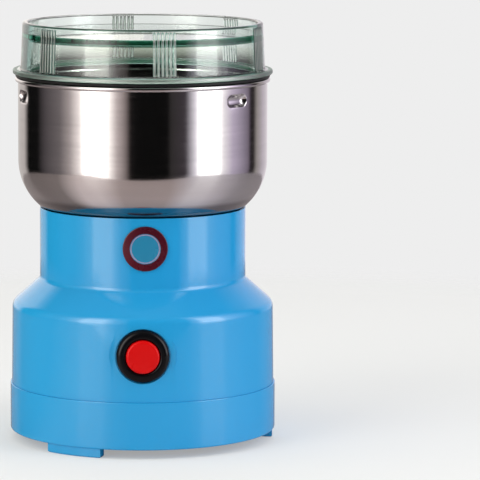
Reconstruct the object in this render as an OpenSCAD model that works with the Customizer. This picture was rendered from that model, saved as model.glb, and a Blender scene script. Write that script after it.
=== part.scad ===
// Electric coffee grinder. Two blue shells hold a motor with an upright shaft. A polished steel
// bowl sits on the neck, a cutter on the shaft turns in the bowl, and a clear lid turns under
// three lugs that are pressed into the bowl's wall.
// Millimetres, +Z up, front towards -Y. The origin is on the table, on the axis of the shaft.
// Angles about Z count from the front towards the right.

/* [Base cover] */
// Outer diameter of the base cover
base_d = 107.5; // [102:0.5:112]
// Height of the base cover's wall up to the parting line
base_wall_h = 19; // [17:0.5:24]
// Thickness of the base cover's wall
base_wall = 2.4; // [2:0.1:3]
// Thickness of the base cover's floor
base_floor = 2.4; // [2:0.1:4]
// Radius of the lower edge
base_edge = 0.8; // [0.4:0.1:1.5]
// Height of the feet
foot_h = 3.6; // [2:0.1:6]
// Angle that each foot spans
foot_span = 27; // [15:1:40]
// Width of a foot across its arc
foot_w = 4.5; // [4:0.5:8]
// Distance of the feet inside the outer wall
foot_inset = 0.9; // [0.8:0.1:2]
// Places of the feet around the base
foot_angles = [-32, 97, 213]; // [-180:1:360]
// Width of the air slots in the floor
vent_w = 3.2; // [2:0.1:4.5]
// Length of the air slots
vent_len = 20; // [12:1:22]
// Radius where the air slots begin
vent_start = 13; // [11:0.5:15]
// Number of air slots
vent_count = 12; // [8:1:14]
// Diameter of the base screws
base_screw_d = 3.4; // [3:0.1:4]
// Length of the base screws under the head
base_screw_len = 22; // [18:1:24]
// Depth of the recess for the head of a base screw
base_screw_recess = 8; // [5:0.5:9]

/* [Upper housing] */
// How far the base cover stands proud of the housing at the parting line
seam_step = 0.6; // [0.2:0.1:1]
// Height of the barrel from the parting line to the shoulder
body_h = 32.7; // [28:0.1:36]
// Radius that the barrel loses over its height
body_draft = 0.4; // [0.1:0.1:1]
// Height of the sloping shoulder
shoulder_h = 9.9; // [8:0.1:14]
// Radius of the shoulder's outer edge
shoulder_round = 4; // [2:0.5:8]
// Outer diameter of the neck
neck_d = 83.2; // [80:0.2:86]
// Height of the neck above the shoulder
neck_h = 29; // [26:0.1:34]
// Radius of the crease between shoulder and neck
crease_round = 2; // [0.5:0.1:3]
// Thickness of the housing's wall
housing_wall = 2.4; // [2:0.1:3]
// Length of the lip that centres the housing in the base cover
lip_h = 4; // [3:0.5:6]
// Thickness of the deck under the bowl
deck_t = 2.6; // [2:0.1:3.5]
// Height of the bosses that take the base screws
boss_h = 16; // [15:0.5:20]
// Diameter of the badge on the neck
badge_d = 17.8; // [12:0.2:20]
// Thickness of the badge
badge_t = 0.7; // [0.4:0.1:1.2]
// Height of the badge's middle above the shoulder
badge_up = 16.8; // [12:0.2:18]
// Turn of the badge away from the front
badge_turn = 1.3; // [-10:0.1:10]

/* [Bowl] */
// Outer diameter of the bowl's wall
bowl_d = 100.4; // [98:0.2:102]
// Thickness of the bowl's sheet
bowl_t = 0.8; // [0.6:0.1:1]
// Height of the bowl from its floor to its rim
bowl_h = 57.5; // [54:0.5:66]
// Outer radius between the floor and the wall
bowl_round = 24; // [22:0.5:26]
// Diameter of the rolled rim
bead_d = 2; // [1.6:0.1:2.4]
// Gap between the bowl and the top of the neck
seat_gap = 0.35; // [0.3:0.05:0.6]
// Thickness of the gasket under the bowl
gasket_t = 1; // [0.6:0.1:2]
// Distance of the pressed lugs under the rim
lug_drop = 6.9; // [6:0.1:8]
// Radius of the groove that presses a lug
lug_r = 2.6; // [2:0.1:2.8]
// Straight length of a pressed lug
lug_len = 6.4; // [4:0.2:8]
// Depth of a pressed lug
lug_depth = 1.8; // [1.4:0.1:2]
// Place of the first pressed lug
lug_turn = 48; // [40:1:56]
// Diameter of the bowl screws
bowl_screw_d = 3; // [2.5:0.1:3.5]
// Diameter of the circle of the bowl screws
bowl_screw_pcd = 36; // [35:0.5:38]

/* [Lid] */
// Outer diameter of the lid's flange
lid_flange_d = 104.6; // [103:0.2:106]
// Thickness of the lid's flange
lid_flange_t = 1.75; // [1.5:0.05:2.5]
// Outer diameter of the lid's wall above the flange
lid_d = 98.4; // [97:0.2:100]
// Radius that the lid's wall loses up to its rim
lid_draft = 0.9; // [0.4:0.1:1.5]
// Height of the lid above the seal
lid_h = 20.7; // [18:0.1:26]
// Thickness of the lid's wall
lid_wall = 2.4; // [2:0.1:3]
// Thickness of the sunk plate
plate_t = 1.8; // [1.4:0.1:2.4]
// Depth of the plate under the rim
plate_drop = 4.3; // [4.1:0.1:6]
// How far the skirt reaches below its cams
skirt_tail = 1.2; // [0.5:0.1:3]
// Thickness of the skirt
skirt_wall = 2; // [1.6:0.1:2.4]
// Height of the skirt's cams, which pass under the lugs
cam_h = 1.8; // [1.4:0.1:2]
// Angle that a cam spans
cam_span = 16; // [12:1:20]
// Angle that the lid turns to lock
lock_turn = 33; // [30:1:40]
// Groups of grip ribs around the lid
rib_groups = 6; // [4:1:8]
// Ribs in a group
ribs_per_group = 6; // [3:1:8]
// Angle from rib to rib
rib_pitch = 1.9; // [1.7:0.1:2.4]
// Diameter of a rib
rib_d = 1.1; // [0.8:0.1:1.3]
// Place of the first group of ribs
rib_turn = 10; // [0:1:60]
// Thickness of the seal between rim and lid
seal_t = 1.4; // [1:0.1:2]
// Width of the seal
seal_w = 3.4; // [3:0.1:3.6]

/* [Cutter] */
// Length of the lower blade from tip to tip
lower_blade_l = 66; // [56:1:70]
// Length of the upper blade along its bent arms
upper_blade_l = 70; // [60:1:74]
// Width of a blade at its middle
blade_w = 12; // [11:0.5:14]
// Width of a blade at its tips
blade_tip_w = 7; // [5:0.5:9]
// Thickness of a blade
blade_t = 1.5; // [1.2:0.1:2]
// Length of the flat middle of a blade
blade_flat = 26; // [24:1:30]
// Upward bend of the upper blade's arms
upper_bend_angle = 35; // [20:1:45]
// Downward bend of the lower blade's arms
lower_bend_angle = 4; // [2:0.5:5]
// Width of the blade nut across its corners
nut_d = 12; // [11:0.5:14]
// Height of the blade nut's flats
nut_h = 4.5; // [4:0.5:6]

/* [Motor] */
// Diameter of the shaft
shaft_d = 6; // [5:0.5:7]
// Height of the laminated stacks
stack_h = 20; // [16:0.5:22]
// Diameter of the armature
armature_d = 30; // [28:0.5:31]
// Gap between armature and stator
air_gap = 0.4; // [0.35:0.05:0.6]
// Number of armature slots
slot_count = 12; // [8:2:14]
// Height of the armature's end turns
turn_h = 4.5; // [4:0.5:5]
// Thickness of a field coil
coil_t = 6; // [5:0.5:7]
// Width of a field coil beside its pole
coil_w = 6.5; // [5:0.5:7]
// Thickness of the stator's yoke behind the coils
yoke_t = 4; // [3:0.5:5]
// Thickness of the brackets
bracket_t = 2; // [1.6:0.2:3]
// Width of the brackets
bracket_w = 14; // [12:1:16]
// Height of the upper bracket's legs
upper_leg_h = 8.5; // [8:0.5:10]
// Diameter of the through bolts
bolt_d = 4; // [3:0.5:4.5]
// Diameter of the motor's mounting screws
motor_screw_d = 3.5; // [3:0.1:4]
// Thickness of the rubber grommets
grommet_t = 1.5; // [1:0.1:2.5]
// Height of the posts under the deck
post_h = 4; // [4:0.2:5]
// Outer diameter of the bearing bushes
bush_d = 12; // [10:0.5:13]
// Length of the bearing bushes
bush_len = 6; // [5:0.5:6.5]
// Diameter of the commutator
commutator_d = 20; // [18:0.5:21]
// Length of the commutator
commutator_len = 10; // [9:0.5:12]
// Width of a carbon brush
brush_w = 5; // [4:0.5:6]
// Length of a carbon brush
brush_len = 9; // [7:0.5:10]
// Length of a brush spring as fitted
brush_spring_len = 3; // [2:0.5:4]
// Diameter of the fan
fan_d = 56; // [48:1:60]
// Height of the fan
fan_h = 8; // [6:0.5:9]
// Number of fan blades
fan_blades = 9; // [7:1:11]
// Diameter of the leads
lead_d = 1.8; // [1.4:0.1:2]

/* [Switch and gland] */
// Height of the switch above the parting line
switch_up = 18.4; // [17:0.1:19.5]
// Outer diameter of the switch's bezel
bezel_d = 21; // [19:0.5:22]
// Thickness of the bezel
bezel_t = 2.8; // [2.6:0.1:3.2]
// Diameter of the switch's barrel
barrel_d = 16; // [15.5:0.1:16.5]
// Length of the barrel behind the bezel
barrel_len = 15; // [14:0.5:16]
// Diameter of the button cap
cap_d = 13.2; // [12.6:0.1:13.4]
// How far the cap stands out of the bezel
cap_proud = 1.2; // [0.6:0.1:2]
// Travel of the button
press_travel = 3; // [2:0.1:3.2]
// Thickness of the housing behind the switch and the gland
panel_t = 4; // [3.5:0.1:5]
// Height of the gland above the parting line
gland_up = 12; // [10:0.5:20]
// Outer diameter of the gland
gland_d = 15; // [13:0.5:17]
// Diameter of the gland's bore, where the cord comes in
inlet_d = 6.6; // [6:0.1:7.5]

/* [Hidden] */
$fn = 96;

// Clearances: fixed fits, a shaft in its bush, pieces that move past each other, cuts past a face
fit = 0.1;
run = 0.04;
clear = 0.5;
over = 1;
arc_steps = 12;
// Small chamfer, wall round a screw's hole, and how far a screw's head stands out round its shank
bevel = 1.2;
boss_wall = 2.8;
head_lip = 1.5;

blue = "#3a9ddb";
steel = "#c9ccd0";
zinc = "#9aa0a6";
black = "#17181a";
copper = "#b5683a";
brass = "#c9a44a";
red = "#cc1512";
carbon = "#2b2b2d";
nylon = "#e6e4dc";
clear_green = [0.72, 0.88, 0.8, 0.5];

// Base cover and housing, from the table up
z_base = foot_h;
z_floor = z_base + base_floor;
z_seam = z_base + base_wall_h;
z_corner = z_seam + body_h;
z_crease = z_corner + shoulder_h;
z_neck = z_crease + neck_h;
r_base = base_d / 2;
r_seam = r_base - seam_step;
r_corner = r_seam - body_draft;
r_neck = neck_d / 2;
shoulder_tilt = atan((r_corner - r_neck) / shoulder_h);
corner_drop = housing_wall * tan(shoulder_tilt / 2);
lip_gap = 0.3;
lip_t = 2.4;
r_lip = r_base - base_wall - lip_gap;
base_screw_angles = [30, 150, 270];
column_r = base_screw_d / 2 + boss_wall;
r_base_screw = r_lip - lip_t - column_r - clear;
head_r = base_screw_d / 2 + head_lip;
head_h = 2.2;
web_t = 3;

// Bowl, seated over the top of the neck
r_bowl = bowl_d / 2;
r_bowl_in = r_bowl - bowl_t;
bowl_cx = r_bowl - bowl_round;
z_bowl_c = z_neck + sqrt(pow(bowl_round + seat_gap, 2) - pow(r_neck - bowl_cx, 2));
z_bowl = z_bowl_c - bowl_round;
z_bowl_floor = z_bowl + bowl_t;
z_rim = z_bowl + bowl_h;
bead_r = bead_d / 2;
z_lug = z_rim - lug_drop;
lug_cx = r_bowl + lug_r - lug_depth;
lug_angles = [for (i = [0:2]) lug_turn + 120 * i];
z_deck = z_bowl - gasket_t;
z_deck_under = z_deck - deck_t;
bowl_screw_angles = [45, 165, 285];
bowl_boss_r = bowl_screw_d / 2 + boss_wall;
bowl_boss_h = 3.6;
bowl_head_r = bowl_screw_d / 2 + head_lip;
bowl_head_h = 1.8;

// Hub and seal round the shaft
r_shaft = shaft_d / 2;
hub_gap = 0.6;
hub_bore = r_shaft + hub_gap;
seal_ring_w = 3.5;
seal_pocket_r = r_shaft + seal_ring_w;
seal_pocket_h = 4.5;
hub_wall = 1.5;
hub_r = seal_pocket_r + hub_wall;
hub_flange_w = 4;
hub_flange_r = hub_r + hub_flange_w;
hub_flange_t = 2;
z_hub = z_bowl_floor + hub_flange_t;
hub_nut_r = hub_r + hub_flange_w;
hub_nut_h = 2.6;
z_hub_nut = z_deck_under - hub_nut_h;
gasket_r = bowl_screw_pcd / 2 + bowl_boss_r;

// Motor, hung under the deck
armature_r = armature_d / 2;
bore_r = armature_r + air_gap;
slot_lip = 1.5;
winding_r = armature_r - slot_lip;
coil_y = winding_r + clear;
coil_back = coil_y + coil_t;
pole_x = bore_r + fit;
coil_x = pole_x + coil_w;
bolt_edge = 1;
bolt_x = coil_x + bolt_d / 2 + bolt_edge;
stator_x = bolt_x + bolt_d / 2 + bolt_edge;
stator_y = coil_back + yoke_t;
stator_cut = 8;
leg_x = bolt_d + 2 * head_lip;
z_post = z_deck_under - post_h;
z_bracket = z_post - grommet_t;
z_bracket_under = z_bracket - bracket_t;
z_stack_top = z_bracket_under - upper_leg_h;
z_stack = z_stack_top - stack_h;
z_turns = z_stack - turn_h;
z_commutator = z_turns - clear - commutator_len;
z_brush = z_commutator + commutator_len / 2;
bush_r = bush_d / 2;
bush_boss_r = bush_r + boss_wall;
bush_boss_up = 1;
z_upper_bush = z_bracket + bush_boss_up - bush_len;
bush_gap = 3;
z_lower_bush = z_commutator - bush_gap - bush_len;
z_lower_bracket = z_lower_bush + bush_len - bush_boss_up - bracket_t;
fan_gap = 2;
z_fan = z_lower_bush - fan_gap - fan_h;
ear_r = motor_screw_d / 2 + boss_wall;
ear_gap = 2.5;
ear_y = coil_back + ear_gap + ear_r;
motor_head_r = motor_screw_d / 2 + head_lip;
motor_head_h = 2.2;
bolt_head_r = bolt_d / 2 + head_lip;
bolt_head_h = bolt_d * 0.6;
motor_nut_h = bolt_d * 0.8;
shaft_tail = 1;
slot_w = 2.4;
slot_depth = 4.5;
commutator_r = commutator_d / 2;
brush_gap = 0.3;
brush_start = commutator_r + brush_gap;
brush_end = brush_start + brush_len;
holder_wall = 2;
holder_r = brush_w / 2 + fit + holder_wall;
holder_start = brush_start + bevel;
holder_cap = 1.2;
holder_end = brush_end + brush_spring_len + holder_cap;
lead_r = lead_d / 2;
lead_sides = 8;
lead_ref = [0.5, -0.7, 0.5];

// Cutter, stacked on the shaft's shoulder
blade_turn = 25;
collar_h = 2.5;
collar_w = 4.5;
collar_r = r_shaft + collar_w;
spacer_h = 1.5;
z_collar = z_hub + clear;
z_lower_blade = z_collar + collar_h;
z_spacer = z_lower_blade + blade_t;
z_upper_blade = z_spacer + spacer_h;
z_nut = z_upper_blade + blade_t;
stud_step = 0.5;
stud_r = r_shaft - stud_step;
stud_over = 3.5;

// Lid and its seal
z_lid = z_rim + seal_t;
z_flange_top = z_lid + lid_flange_t;
z_top = z_lid + lid_h;
z_plate = z_top - plate_drop - plate_t;
r_lid = lid_d / 2;
r_lid_top = r_lid - lid_draft;
r_flange = lid_flange_d / 2;
lug_inner_r = lug_cx - lug_r - bowl_t;
r_skirt = lug_inner_r - clear;
cam_r = r_bowl_in - clear;
z_cam = z_lug - lug_r - bowl_t - clear - cam_h;
z_skirt = z_cam - skirt_tail;
stop_w = 2;
stop_lap = 0.5;
stop_turn = cam_span / 2 + atan(stop_w / 2 / cam_r) - stop_lap;
stop_top = z_lug;
r_seal = r_bowl + bead_r;

// Switch in the front of the barrel, gland in the back
z_switch = z_seam + switch_up;
bezel_r = bezel_d / 2;
spot_gap = 0.4;
switch_seat = sqrt(pow(r_corner, 2) - pow(bezel_r + spot_gap, 2));
bezel_face = switch_seat + bezel_t;
cap_face = bezel_face + cap_proud;
switch_panel = switch_seat - panel_t;
barrel_r = barrel_d / 2;
barrel_end = switch_seat - barrel_len;
barrel_wall = 0.8;
guide_r = barrel_r - barrel_wall;
cap_r = cap_d / 2;
cap_crown = 0.4;
cap_skirt_r = guide_r - fit;
cap_skirt_t = 2;
cap_skirt_face = switch_seat - clear;
cap_back = cap_skirt_face - cap_skirt_t;
stem_r = 2.5;
stem_len = 4.5;
spring_solid = 4;
block_front = cap_back - press_travel - spring_solid;
block_t = 3;
stem_hole_r = stem_r + spot_gap;
spring_gap = 0.6;
switch_nut_w = 4;
switch_nut_r = barrel_r + switch_nut_w;
switch_nut_t = 3;
tab_x = 3.5;
tab_w = 4.8;
tab_t = 0.8;
tab_len = 3.5;
tab_end = barrel_end - block_t - tab_len;
pad_r = switch_nut_r + bevel;
z_gland = z_seam + gland_up;
gland_r = gland_d / 2;
gland_seat = sqrt(pow(r_corner, 2) - pow(gland_r + spot_gap, 2));
gland_panel = gland_seat - panel_t;
gland_wall = 2;
gland_neck_r = inlet_d / 2 + gland_wall;
gland_back_r = gland_neck_r + head_lip;
gland_back_t = 2;
gland_pad_r = gland_back_r + bevel;

function unit(v) = v / norm(v);
// Points of an arc about c from angle a0 to angle a1
function arc(c, r, a0, a1, n = arc_steps) =
    [for (i = [0:n]) c + r * [cos(a0 + (a1 - a0) * i / n), sin(a0 + (a1 - a0) * i / n)]];
// Points that round the corner b of the path a, b, c
function rounded(a, b, c, r) =
    let (u = unit(a - b), v = unit(c - b), half = acos(u * v) / 2,
         m = b + unit(u + v) * r / sin(half),
         p = b + u * r / tan(half) - m, q = b + v * r / tan(half) - m,
         start = atan2(p.y, p.x), turn = (atan2(q.y, q.x) - start + 540) % 360 - 180)
    arc(m, r, start, start + turn);
// Points of a soft bend at the corner b of a lead's route
function eased(a, b, c) =
    let (q = b + unit(a - b) * lead_d, r = b + unit(c - b) * lead_d)
    [for (t = [0:0.25:1]) (1 - t) * (1 - t) * q + 2 * t * (1 - t) * b + t * t * r];
// Radius of the lid's outer wall at height z
function lid_wall_r(z) = r_lid - lid_draft * (z - z_flange_top) / (z_top - z_flange_top);

// Turns what it holds from the front to the angle a
module turned(a) { rotate([0, 0, a]) children(); }
// Sweeps an outline over a span with its middle at the angle a
module sector(a, span) {
    rotate([0, 0, a - 90 - span / 2]) rotate_extrude(angle = span) children();
}
// Lays what stands on Z along +Y, from the distance y behind the axis, at the height z
module along_y(y, z) { translate([0, y, z]) rotate([-90, 0, 0]) children(); }
// A ring about Z between two heights
module ring(r_out, r_in, z0, z1) {
    translate([0, 0, z0]) difference() {
        cylinder(r = r_out, h = z1 - z0);
        translate([0, 0, -over]) cylinder(r = r_in, h = z1 - z0 + 2 * over);
    }
}
// A hole about Z between two heights, cut past both of them
module hole(r, z0, z1) { translate([0, 0, z0 - over]) cylinder(r = r, h = z1 - z0 + 2 * over); }
// A box about the shaft's axis between two heights
module slab(x, y, z0, z1) { translate([-x / 2, -y / 2, z0]) cube([x, y, z1 - z0]); }
// A round rod between two points
module rod(p, q, r) {
    d = q - p;
    translate(p) rotate([0, acos(d.z / norm(d)), atan2(d.y, d.x)]) cylinder(r = r, h = norm(d));
}
// A screw that points up, with its head under the height z and a cross in the head
module screw_up(z, r, len, hr, hh) {
    difference() {
        union() {
            translate([0, 0, z - hh / 4]) cylinder(r = r, h = len + hh / 4);
            translate([0, 0, z - hh]) cylinder(r = hr, h = hh);
        }
        for (a = [0, 90]) rotate([0, 0, a]) slab(hr * 1.2, hr * 0.3, z - hh - over, z - hh / 2);
    }
}

module base_profile() {
    polygon(concat([[0, z_base]],
        rounded([0, z_base], [r_base, z_base], [r_base, z_seam], base_edge),
        [[r_base, z_seam], [r_base - base_wall, z_seam], [r_base - base_wall, z_floor], [0, z_floor]]));
}
module base_cover() color(blue) difference() {
    union() {
        rotate_extrude() base_profile();
        for (a = foot_angles) sector(a, foot_span)
            translate([r_base - foot_inset - foot_w, 0]) square([foot_w, z_floor - base_floor / 2]);
        for (a = base_screw_angles) turned(a)
            translate([0, -r_base_screw, z_base]) cylinder(r = column_r, h = base_wall_h);
    }
    for (i = [0:vent_count - 1]) turned(i * 360 / vent_count)
        translate([0, -vent_start - vent_len / 2, 0]) {
            slab(vent_w, vent_len - vent_w, z_base - over, z_floor + over);
            for (s = [-1, 1]) translate([0, s * (vent_len - vent_w) / 2, 0])
                hole(vent_w / 2, z_base, z_floor);
        }
    for (a = base_screw_angles) turned(a) translate([0, -r_base_screw, 0]) {
        hole(base_screw_d / 2 + fit, z_base, z_seam);
        translate([0, 0, z_base - over]) cylinder(r = head_r + fit, h = base_screw_recess + over);
    }
}
module base_screws() color(steel) for (a = base_screw_angles) turned(a)
    translate([0, -r_base_screw, 0])
        screw_up(z_base + base_screw_recess, base_screw_d / 2, base_screw_len, head_r, head_h);

module housing_profile() {
    seam = [r_seam, z_seam];
    corner = [r_corner, z_corner];
    crease = [r_neck, z_crease];
    top = [r_neck, z_neck + over];
    w = [-housing_wall, -corner_drop];
    neck_in = r_neck - housing_wall;
    difference() {
        polygon(concat([seam], rounded(seam, corner, crease, shoulder_round),
            rounded(corner, crease, top, crease_round),
            [top, [neck_in, z_neck + over], [neck_in, z_deck], [hub_r + fit, z_deck],
             [hub_r + fit, z_deck_under], [neck_in, z_deck_under], crease + w, corner + w,
             [r_seam - housing_wall, z_seam + lip_h], [r_lip - lip_t, z_seam + lip_h],
             [r_lip - lip_t, z_seam - lip_h], [r_lip, z_seam - lip_h], [r_lip, z_seam]]));
        translate([bowl_cx, z_bowl_c]) circle(r = bowl_round + seat_gap);
    }
}
module upper_housing() color(blue) difference() {
    union() {
        rotate_extrude() housing_profile();
        intersection() {
            union() {
                along_y(-r_corner, z_switch) cylinder(r = pad_r, h = r_corner - switch_panel);
                along_y(gland_panel, z_gland) cylinder(r = gland_pad_r, h = r_corner - gland_panel);
            }
            cylinder(r = r_corner - housing_wall / 2, h = z_corner);
        }
        for (a = base_screw_angles) turned(a) translate([0, -r_base_screw, z_seam]) {
            cylinder(r = column_r, h = boss_h);
            translate([-web_t / 2, r_base_screw - r_corner + housing_wall / 2, 0])
                cube([web_t, r_corner - housing_wall / 2 - r_base_screw, boss_h]);
        }
        for (s = [-1, 1]) translate([0, s * ear_y, z_post]) cylinder(r = ear_r, h = post_h + deck_t / 2);
        for (a = bowl_screw_angles) turned(a) translate([0, -bowl_screw_pcd / 2, z_deck_under - bowl_boss_h])
            cylinder(r = bowl_boss_r, h = bowl_boss_h + deck_t / 2);
    }
    along_y(-r_base - over, z_switch) cylinder(r = bezel_r + spot_gap, h = r_base + over - switch_seat);
    along_y(-r_base, z_switch) cylinder(r = barrel_r + fit, h = r_base - switch_panel + over);
    along_y(gland_seat, z_gland) cylinder(r = gland_r + spot_gap, h = r_base + over - gland_seat);
    along_y(gland_panel - over, z_gland) cylinder(r = gland_neck_r + fit, h = r_base);
    for (a = base_screw_angles) turned(a) translate([0, -r_base_screw, 0])
        hole(base_screw_d / 2 + fit, z_seam, z_base + base_screw_recess + base_screw_len);
    for (s = [-1, 1]) translate([0, s * ear_y, 0]) hole(motor_screw_d / 2 + fit, z_post, z_deck_under - over);
    for (a = bowl_screw_angles) turned(a) translate([0, -bowl_screw_pcd / 2, 0])
        hole(bowl_screw_d / 2 + fit, z_deck_under - bowl_boss_h, z_deck);
}
module badge() color(red) turned(badge_turn) intersection() {
    along_y(-r_neck - badge_t - over, z_crease + badge_up) cylinder(d = badge_d, h = r_neck / 2);
    ring(r_neck + badge_t, r_neck + run, z_crease, z_neck);
}
module cord_gland() color(black) along_y(0, z_gland) rotate_extrude() polygon([
    [inlet_d / 2, gland_panel - gland_back_t], [gland_back_r, gland_panel - gland_back_t],
    [gland_back_r, gland_panel], [gland_neck_r, gland_panel], [gland_neck_r, gland_seat],
    [gland_r, gland_seat], [gland_r, (gland_seat + cap_face) / 2], [gland_r - bevel, cap_face],
    [inlet_d / 2, cap_face]]);

module switch_bezel() color(black) along_y(0, z_switch) rotate_extrude() polygon([
    [barrel_r, -barrel_end], [barrel_r, -switch_seat], [bezel_r, -switch_seat],
    [bezel_r, -switch_seat - bezel_t / 2], [bezel_r - bevel, -bezel_face], [cap_r + bevel, -bezel_face],
    [cap_r + fit, bevel - bezel_face], [cap_r + fit, -switch_seat], [guide_r, -switch_seat],
    [guide_r, -barrel_end]]);
module switch_nut() color(steel) along_y(-switch_panel, z_switch) difference() {
    cylinder(r = switch_nut_r, h = switch_nut_t, $fn = 6);
    hole(barrel_r + fit, 0, switch_nut_t);
}
module contact_block() color(black) along_y(0, z_switch) difference() {
    rotate_extrude() polygon([[0, -block_front], [guide_r - fit, -block_front], [guide_r - fit, -barrel_end],
        [barrel_r, -barrel_end], [barrel_r, block_t - barrel_end], [0, block_t - barrel_end]]);
    hole(stem_hole_r, -block_front, -barrel_end - over);
}
module switch_terminals() color(brass) for (s = [-1, 1])
    translate([s * tab_x - tab_t / 2, block_t - barrel_end, z_switch - tab_w / 2]) cube([tab_t, tab_len, tab_w]);
module switch_spring() color(steel) along_y(0, z_switch)
    ring(guide_r - 2 * spring_gap, stem_hole_r + spring_gap, -cap_back, -block_front);
module button_cap() color(red) along_y(0, z_switch) rotate_extrude() polygon(concat(
    [[0, -cap_face]],
    rounded([0, -cap_face], [cap_r, cap_crown - cap_face], [cap_r, -cap_skirt_face], cap_proud),
    [[cap_r, -cap_skirt_face], [cap_skirt_r, -cap_skirt_face], [cap_skirt_r, -cap_back],
     [stem_r, -cap_back], [stem_r, stem_len - cap_back], [0, stem_len - cap_back]]));

module bowl_profile() {
    c = [bowl_cx, z_bowl_c];
    bead = [r_bowl_in + bead_r, z_rim - bead_r];
    bead_start = -acos((r_bowl - bead.x) / bead_r);
    polygon(concat([[hub_r + fit, z_bowl]], arc(c, bowl_round, -90, 0), arc(bead, bead_r, bead_start, 180),
        arc(c, bowl_round - bowl_t, 0, -90), [[hub_r + fit, z_bowl_floor]]));
}
// A bar with round ends along the wall, where a lug is pressed
module lug_bar(r) translate([0, -lug_cx, z_lug]) {
    rotate([0, 90, 0]) cylinder(r = r, h = lug_len, center = true);
    for (s = [-1, 1]) translate([s * lug_len / 2, 0, 0]) sphere(r = r);
}
module bowl() color(steel) difference() {
    union() {
        rotate_extrude() bowl_profile();
        intersection() {
            for (a = lug_angles) turned(a) lug_bar(lug_r + bowl_t);
            hole(r_bowl - bowl_t / 2, z_bowl_c, z_rim);
        }
    }
    for (a = lug_angles) turned(a) lug_bar(lug_r);
    for (a = bowl_screw_angles) turned(a) translate([0, -bowl_screw_pcd / 2, 0])
        hole(bowl_screw_d / 2 + fit, z_bowl, z_bowl_floor);
}
module bowl_gasket() color(carbon) difference() {
    ring(gasket_r, hub_r + fit, z_deck, z_bowl);
    for (a = bowl_screw_angles) turned(a) translate([0, -bowl_screw_pcd / 2, 0])
        hole(bowl_screw_d / 2 + fit, z_deck, z_bowl);
}
module bowl_screws() color(steel) for (a = bowl_screw_angles) turned(a)
    translate([0, -bowl_screw_pcd / 2, z_bowl_floor]) mirror([0, 0, 1])
        screw_up(0, bowl_screw_d / 2, z_bowl_floor - z_deck_under + bowl_boss_h, bowl_head_r, bowl_head_h);
module shaft_hub() color(nylon) rotate_extrude() polygon([
    [hub_bore, z_hub_nut], [hub_r, z_hub_nut], [hub_r, z_bowl_floor], [hub_flange_r, z_bowl_floor],
    [hub_flange_r, z_hub - bevel], [hub_flange_r - bevel, z_hub], [seal_pocket_r, z_hub],
    [seal_pocket_r, z_hub - seal_pocket_h], [hub_bore, z_hub - seal_pocket_h]]);
module hub_nut() color(zinc) difference() {
    translate([0, 0, z_hub_nut]) cylinder(r = hub_nut_r, h = hub_nut_h, $fn = 6);
    hole(hub_r + fit, z_hub_nut, z_deck_under);
}
module shaft_seal() color(carbon)
    ring(seal_pocket_r - fit, r_shaft + run, z_hub - seal_pocket_h, z_hub - fit);

// A bracket's plate with arms for the bolts, its legs and the boss for a bush
module bracket(z_plate0, z_leg0, z_leg1, z_bush, cross_y) difference() {
    union() {
        slab(2 * stator_x, bracket_w, z_plate0, z_plate0 + bracket_t);
        slab(2 * ear_r, 2 * cross_y, z_plate0, z_plate0 + bracket_t);
        for (s = [-1, 1]) translate([s * bolt_x, 0, 0]) slab(leg_x, bracket_w, z_leg0, z_leg1);
        ring(bush_boss_r, bush_r / 2, z_bush, z_bush + bush_len);
    }
    hole(bush_r + fit, z_bush, z_bush + bush_len);
    for (s = [-1, 1]) translate([s * bolt_x, 0, 0]) hole(bolt_d / 2 + fit, z_lower_bracket, z_bracket);
}
module upper_bracket() color(zinc) difference() {
    bracket(z_bracket_under, z_stack_top, z_bracket, z_upper_bush, ear_y + ear_r);
    for (s = [-1, 1]) translate([0, s * ear_y, 0]) hole(motor_screw_d / 2 + fit, z_bracket_under, z_bracket);
}
module lower_bracket() color(zinc)
    bracket(z_lower_bracket, z_lower_bracket, z_stack, z_lower_bush, holder_end);
module bush(z) ring(bush_r, r_shaft + run, z, z + bush_len);
module upper_bush() color(brass) bush(z_upper_bush);
module lower_bush() color(brass) bush(z_lower_bush);
module stator_core() color(zinc) translate([0, 0, z_stack]) linear_extrude(stack_h) difference() {
    polygon([for (q = [[1, 1], [-1, 1], [-1, -1], [1, -1]], i = [0, 1])
        let (first = (q.x * q.y > 0) ? i == 0 : i == 1)
        [q.x * (stator_x - (first ? 0 : stator_cut)), q.y * (stator_y - (first ? stator_cut : 0))]]);
    circle(r = bore_r);
    for (sx = [-1, 1], sy = [-1, 1])
        translate([sx * (pole_x + coil_x) / 2, sy * (coil_y + coil_back) / 2])
            square([coil_w + 2 * fit, coil_t + 2 * fit], center = true);
    for (s = [-1, 1]) translate([s * bolt_x, 0]) circle(r = bolt_d / 2 + fit);
}
module field_coils() color(copper) for (s = [-1, 1]) translate([0, s * (coil_y + coil_back) / 2, 0])
    difference() {
        slab(2 * coil_x, coil_t, z_stack - turn_h, z_stack_top + turn_h);
        slab(2 * pole_x, coil_t + 2 * over, z_stack - fit, z_stack_top + fit);
    }
module motor_bolts() color(steel) for (s = [-1, 1]) translate([s * bolt_x, 0, 0]) {
    translate([0, 0, z_lower_bracket - motor_nut_h - over])
        cylinder(d = bolt_d, h = z_bracket - z_lower_bracket + motor_nut_h + over + bolt_head_h / 2);
    translate([0, 0, z_bracket]) cylinder(r = bolt_head_r, h = bolt_head_h);
}
module motor_nuts() color(steel) for (s = [-1, 1]) translate([s * bolt_x, 0, z_lower_bracket - motor_nut_h])
    difference() {
        cylinder(r = bolt_head_r + 0.5, h = motor_nut_h, $fn = 6);
        hole(bolt_d / 2 + run, 0, motor_nut_h);
    }
module motor_screws() color(steel) for (s = [-1, 1]) translate([0, s * ear_y, 0])
    screw_up(z_bracket_under, motor_screw_d / 2, z_deck_under - over - z_bracket_under, motor_head_r, motor_head_h);
module motor_grommets() color(carbon) for (s = [-1, 1]) translate([0, s * ear_y, 0])
    ring(ear_r, motor_screw_d / 2 + fit, z_bracket, z_post);
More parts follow.
